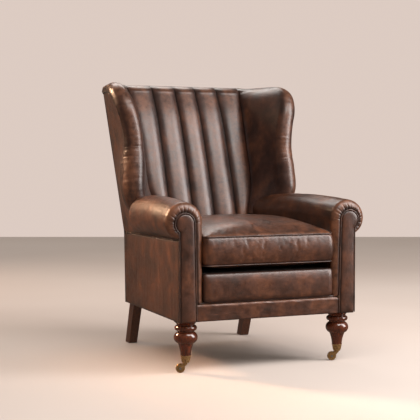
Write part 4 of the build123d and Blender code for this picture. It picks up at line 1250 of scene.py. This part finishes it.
def cushion_plan(inset, count):
    """Points round the cushion's plan, from the middle of its front, with their outward ways."""
    front, rear = CUSHION_FRONT + inset, CUSHION_REAR - inset
    path = [Vector((0, front))]
    for across, depth, radius, start in (
        (1, front, CORNER_FRONT, -90), (1, rear, CORNER_REAR, 0),
        (-1, rear, CORNER_REAR, 90), (-1, front, CORNER_FRONT, 180),
    ):
        half = cushion_half(depth) - inset
        middle = Vector((across * (half - radius), depth + (radius if depth == front else -radius)))
        for turn in range(CORNER_TURNS + 1):
            angle = math.radians(start + 90 * turn / CORNER_TURNS)
            path.append(middle + Vector((math.cos(angle), math.sin(angle))) * radius)
    path.append(path[0])
    lengths = [0]
    for before, after in zip(path, path[1:]):
        lengths.append(lengths[-1] + (after - before).length)
    points, leg = [], 0
    for index in range(count):
        target = lengths[-1] * index / count
        while lengths[leg + 1] < target:
            leg += 1
        share = (target - lengths[leg]) / (lengths[leg + 1] - lengths[leg])
        points.append(path[leg].lerp(path[leg + 1], share))
    alongs = [points[(index + 1) % count] - points[index - 1] for index in range(count)]
    return points, [Vector((along.y, -along.x)).normalized() for along in alongs]


def depth_share(depth):
    return clamp((depth - CUSHION_FRONT) / (CUSHION_REAR - CUSHION_FRONT))


def seam_rise(depth):
    return SEAM_LIFT * math.sin(math.pi * depth_share(depth))


def crown_at(across, depth):
    """Rise of the crown over the top seam."""
    along = 1 - abs(2 * depth_share(depth) - 1) ** 2.6
    side = min(abs(across) / cushion_half(depth), 1)
    return CROWN * (0.10 + 0.90 * max(along, 0) ** 0.62) * max(1 - side**2.4, 0) ** 0.75


def cushion_rings(inset, count):
    """Rings from the middle of the cushion's underside, up its sides, to the middle of its top."""
    plan, ways = cushion_plan(inset, count)
    middle = Vector((0, (CUSHION_FRONT + CUSHION_REAR) / 2))
    low, high = BOTTOM_SEAM + inset, TOP_SEAM - inset
    rings = []
    for step in shares(BOTTOM_RINGS, 1):
        share = step**0.8
        height = low - SAG * max(1 - share**3, 0)
        spots_in = [middle.lerp(point, share) for point in plan]
        rings.append([place(spot.x, spot.y, height) for spot in spots_in])
    for share in shares(SIDE_RINGS, 1)[:-1]:
        ring = []
        for point, way in zip(plan, ways):
            bulge = mix(SIDE_BULGE, FRONT_BULGE, max(-way.y, 0)) * math.sin(math.pi * share) ** 0.7
            spot = point + way * bulge
            ring.append(place(spot.x, spot.y, mix(low, high + seam_rise(point.y), share)))
        rings.append(ring)
    for step in shares(TOP_RINGS)[:-1]:
        share = 1 - step
        edge = math.sqrt(max(1 - share**7, 0))
        ring = []
        for spot in [middle.lerp(point, share) for point in plan]:
            lift = crown_at(spot.x, spot.y) * CROWN_SHARE + CROWN_EDGE * edge if share < 1 else 0
            ring.append(place(spot.x, spot.y, high + seam_rise(spot.y) + lift))
        rings.append(ring)
    return rings


def seat_cushion():
    """The loose cushion: swollen between its held seams, then wrinkled, with its piping."""
    outline, ways = cushion_plan(0, COVER_POINTS)
    seams = []
    for height, rises in ((TOP_SEAM, 1), (BOTTOM_SEAM, 0)):
        path = []
        for point, way in zip(outline, ways):
            lift = seam_rise(point.y) * rises
            path.append(place(point.x + way.x * WELT_OUT, point.y + way.y * WELT_OUT, height + lift))
        seams.append(path)
    finder = KDTree(2 * COVER_POINTS)
    for index, point in enumerate(seams[0] + seams[1]):
        finder.insert(point, index)
    finder.balance()

    def from_seam(point):
        return finder.find(point)[2]

    def hold(point):
        return max(fade(from_seam(point), HOLD_WIDTH), LEAST_HOLD)

    tucks = drawn(random.Random(5), TUCKS, (-0.25, 0.25), (0.4, 1.0), (0.0016, 0.004))
    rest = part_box("seat_deck")[1].z + GAP

    def change(point, normal):
        away = from_seam(point)
        lift = ripple(point, CUSHION_WAVES) * ease(away / 0.02)
        lift -= SEAM_SINK * groove(away, SEAM_SINK_WIDTH)
        depth = point.y - FACING
        share = (point.z - BOTTOM_SEAM) / (TOP_SEAM + seam_rise(depth) - BOTTOM_SEAM)
        if 0 < share < 1 and abs(normal.z) < 0.7:
            high = ease((share - 0.45) / 0.5) * ease((1.02 - share) / 0.1)
            low = ease((0.3 - share) / 0.3) * ease(share / 0.06)
            front = 1 if depth < 0.03 else 0.4
            for middle, deep, width in tucks:
                across = abs(point.x + 0.004 * math.sin(share * 9 + middle * 60) - middle)
                if across < width * 3:
                    lift -= TUCK_DEPTH * deep * front * groove(across, width) * (high + 0.5 * low)
        moved = point + normal * lift
        moved.z = max(moved.z, rest)
        return moved

    def tones(point):
        away = from_seam(point)
        top_edge = groove(away - 0.009, 0.005) * ease((point.z - TOP_SEAM + 0.01) / 0.01)
        # Painted shade along the seams, and wear along the top's front edge
        return fade(away, SEAM_SHADE_WIDTH), 0.30 * top_edge

    piece = loft("cushion_leather", cushion_rings(COVER_INSET, COVER_POINTS))
    inflate(piece, hold)
    shape(piece, change, tones)
    finish_piece(piece, LEATHER, "leather", "seat_cushion", body="cushion", fill=0.85)
    for word, path in zip(("top", "bottom"), seams):
        welt(
            "cushion_piping_" + word, path + path[:1],
            radius=CUSHION_WELT, corners=8, wobble=0.12, body="cushion", levels=0,
        )
    core = loft("cushion_foam_core", cushion_rings(CORE_INSET, CORE_POINTS))
    finish_piece(core, FOAM, "cushion_foam", "cushion_core", body="cushion", fill=1.0, levels=0)


# Hidden cloth pieces
UP, DOWN, FORWARD = Vector((0, 0, 1)), Vector((0, 0, -1)), Vector((0, -1, 0))
STRAPS, STRAP_WIDTH, STRAP_THICKNESS = 3, 0.052, 0.0017
# How far the straps' front faces stand before the rear edge of the back
STRAP_FRONT = 0.0345 + 0.0034
# Dust cover: inset from the body, half widths where it is cut out round the front and rear legs,
# the depths where those cuts end and start, and how far it sags
DUST_INSET, DUST_SAG, DUST_THICKNESS = 0.020, 0.006, 0.0016
CUT_FRONT, CUT_REAR, CUT_FRONT_END, CUT_REAR_START, CUT_TURN = 0.262, 0.232, 0.096, 0.668, 0.01


def seat_deck():
    low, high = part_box("seat_deck")
    front, rear = low.y - FACING, high.y - FACING

    def point(u, v):
        depth = mix(front, rear, v)
        half = side_half(HOLLOW_INSET, depth)
        return place(mix(-half, half, u), depth, high.z)

    def lift(base):
        return ripple(base, DECK_WAVES) - DECK_WAVES[0]

    size = (0.5, rear - front)
    piece = panel("seat_deck_cloth", point, UP, size, high.z - low.z, 0.009, step=0.018, lift=lift)
    finish_piece(piece, DECK_CLOTH, "deck_padding", "seat_deck", fill=0.4, levels=0)


def back_webbing():
    """Upright straps, woven, on the front of the back's rails."""
    low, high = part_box("back_webbing")
    pitch = (high.x - low.x - STRAP_WIDTH) / (STRAPS - 1)
    size = (STRAP_WIDTH, high.z - low.z)
    for strap in range(STRAPS):
        left = low.x + strap * pitch

        def point(u, v):
            height = mix(low.z, high.z, v)
            return place(left + STRAP_WIDTH * u, rear_edge(height)[1] - STRAP_FRONT, height)

        name = "webbing_strap_%d" % (strap + 1)
        piece = panel(name, point, FORWARD, size, STRAP_THICKNESS, 0.0008, step=0.02)
        finish_piece(piece, JUTE, "webbing", "back_webbing", levels=0)


def dust_cover():
    """A cloth cut to shape and stretched under the seat, cut out round the four legs."""
    low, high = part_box("dust_cover")
    front, rear = low.y - FACING, high.y - FACING

    def point(u, v):
        depth = mix(front, rear, v)
        half = mix(side_half(DUST_INSET, depth), CUT_FRONT, fade(depth - CUT_FRONT_END, CUT_TURN))
        half = mix(half, CUT_REAR, ease((depth - CUT_REAR_START) / CUT_TURN))
        sag = DUST_SAG * math.sin(math.pi * u) * math.sin(math.pi * v)
        return place(mix(-half, half, u), depth, base_height(depth) + 0.0022 - sag)

    size = (0.6, rear - front)
    piece = panel("dust_cover_sheet", point, DOWN, size, DUST_THICKNESS, 0.0008, step=0.02)
    edges = [(point(0, v), point(1, v)) for v in shares(200)]
    widths = [right.x - left.x for left, right in edges]
    for (here, _), (then, _), width, next_width in zip(edges, edges[1:], widths, widths[1:]):
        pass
    finish_piece(piece, DUST_CLOTH, "dust_cover_cloth", "dust_cover", levels=0)


# Hard parts keep their shapes from the frame and get finished materials
NODE_MATERIALS = (
    (TURNED, "front_leg"), (REAR_WOOD, "rear_leg"), (SCREW_BRASS, "cup_screws"),
    (BRASS, "castor_cup castor_horn castor_wheel"), (STEEL, "castor_axle leg_bolts"),
    (SPRING_STEEL, "seat_springs spring_clips"),
    (BEECH, "front_rail side_rail back_rail lower_back_rail crest_rail front_post back_post"),
    (BEECH, "arm_board wing_board corner_blocks"),
)


def dress_nodes():
    materials = {kind: material for material, kinds in NODE_MATERIALS for kind in kinds.split()}
    for name, part in frame["nodes"].items():
        material = materials.get(name.removesuffix("_left").removesuffix("_right"))
        if material is None:
            continue
        if not part.material_slots:
            part.data.materials.append(material)
        for part_slot in part.material_slots:
            part_slot.material = material


for side, word in SIDES:
    for make in (arm_leather, facing, outside_arm, wing_leather, outside_wing):
        make(side, word)
arm_piping()
seat_border()
plinth()
inside_back()
outside_back()
seat_cushion()
seat_deck()
back_webbing()
dust_cover()
dress_nodes()

# Stage, light and camera
CAMERA_SPOT = (-1.839, -4.010, 0.756)
CAMERA_HEADING, CAMERA_DROP, CAMERA_LENS = 24.04, 2.599, 96.39
FLOOR_REACH, FLOOR_NEAR, FLOOR_HALF = 10.9, 3.0, 12.0
FLOOR_TONES = ((0.3, (0.50, 0.435, 0.395)), (0.7, (0.545, 0.485, 0.445)))
# Light of the room, its colour and strength: as it lights, as the leather mirrors it, and as the
# camera sees it
ROOM_LIGHT = (1.0, 0.92, 0.86, 1), 0.34
ROOM_MIRRORED = (1.0, 0.78, 0.62, 1), 0.15
ROOM_SHOWN = (0.72, 0.60, 0.54, 1), 1.0
# Lamps: name, place, aimed at, size, spread in degrees, power and colour
LAMPS = (
    ("right_softbox", (2.7, -2.0, 2.2), (0.0, 0.0, 0.75), (1.6, 3.3), 180, 200.0, (1.0, 0.94, 0.92)),
    ("top_softbox", (0.5, -2.3, 3.2), (0.0, -0.3, 0.45), (1.8, 1.1), 180, 66.0, (1.0, 0.96, 0.93)),
    ("rear_softbox", (0.3, 2.1, 2.8), (0.0, -0.2, 0.6), (1.8, 0.9), 180, 30.0, (1.0, 0.93, 0.88)),
    ("warm_left", (-1.9, 1.75, 1.85), (-0.45, -0.1, 0.62), (0.6, 0.8), 24, 5.2, (1.0, 0.62, 0.38)),
    ("warm_wall", (-1.8, 3.5, 1.5), (-0.35, -0.1, 0.7), (1.7, 1.5), 180, 30.0, (1.0, 0.60, 0.36)),
)
# Lamps that light without being mirrored in the leather
UNMIRRORED = ("warm_wall",)
# The sun lamps aren't mirrored either: name, way, strength, width in degrees, colour
SUNS = (
    ("even_daylight", (0.35, 0.55, -1.0), 1.45, 45.0, (1.0, 0.94, 0.89)),
    ("low_warm_sun", (0.75, -0.62, -0.28), 0.42, 12.0, (1.0, 0.76, 0.52)),
)


def stage():
    """A pale floor that ends at the photographed skirting line, square to the camera."""
    material, tree, shader = new_material("pale_floor")
    clouds = spots(tree, 0.5, 3.0, 0.5, 0.2)
    tone = ramp(tree, clouds, FLOOR_TONES)
    set_inputs(tree, shader, {"Base Color": tone, "Roughness": 0.5, "Specular IOR Level": 0.2})
    heading = math.radians(CAMERA_HEADING)
    ahead = Vector((math.sin(heading), math.cos(heading), 0))
    across = Vector((ahead.y, -ahead.x, 0))
    foot = Vector((CAMERA_SPOT[0], CAMERA_SPOT[1], -0.0002))
    corners = []
    for reach, half in ((-FLOOR_NEAR, -1), (-FLOOR_NEAR, 1), (FLOOR_REACH, 1), (FLOOR_REACH, -1)):
        corners.append(foot + ahead * reach + across * half * FLOOR_HALF)
    mesh = bpy.data.meshes.new("floor")
    mesh.from_pydata(corners, [], [(0, 1, 2, 3)])
    mesh.materials.append(material)
    floor = bpy.data.objects.new("floor", mesh)
    bpy.context.scene.collection.objects.link(floor)
    floor.visible_glossy = False


def world():
    made = bpy.data.worlds.new("studio")
    bpy.context.scene.world = made
    made.use_nodes = True
    tree = made.node_tree
    tree.nodes.clear()
    paths = node(tree, "LightPath").outputs
    lit, mirrored, shown = [
        node(tree, "Background", {"Color": colour, "Strength": strength}).outputs[0]
        for colour, strength in (ROOM_LIGHT, ROOM_MIRRORED, ROOM_SHOWN)
    ]
    unseen = node(tree, "MixShader", {0: paths["Is Glossy Ray"], 1: lit, 2: mirrored}).outputs[0]
    both = node(tree, "MixShader", {0: paths["Is Camera Ray"], 1: unseen, 2: shown}).outputs[0]
    node(tree, "OutputWorld", {"Surface": both})


def add_lamp(name, kind, colour, energy, way, spot=(0, 0, 4)):
    light = bpy.data.lights.new(name, kind)
    light.color = colour
    light.energy = energy
    lamp = bpy.data.objects.new(name, light)
    lamp.location = spot
    lamp.rotation_euler = way.to_track_quat("-Z", "Y").to_euler()
    lamp.visible_glossy = kind == "AREA" and name not in UNMIRRORED
    bpy.context.scene.collection.objects.link(lamp)
    return light


def lamps():
    for name, spot, target, size, spread, energy, colour in LAMPS:
        light = add_lamp(name, "AREA", colour, energy, Vector(target) - Vector(spot), spot)
        light.shape = "RECTANGLE"
        light.size, light.size_y = size
        light.spread = math.radians(spread)
    for name, way, strength, width, colour in SUNS:
        add_lamp(name, "SUN", colour, strength, Vector(way)).angle = math.radians(width)


def camera():
    eye = bpy.data.cameras.new("camera")
    eye.lens = CAMERA_LENS
    eye.sensor_width = 36.0
    eye.clip_end = 60.0
    holder = bpy.data.objects.new("camera", eye)
    holder.location = CAMERA_SPOT
    holder.rotation_euler = (math.radians(90 - CAMERA_DROP), 0, -math.radians(CAMERA_HEADING))
    bpy.context.scene.collection.objects.link(holder)
    bpy.context.scene.camera = holder


stage()
world()
lamps()
camera()
bpy.context.scene.view_settings.view_transform = "Standard"
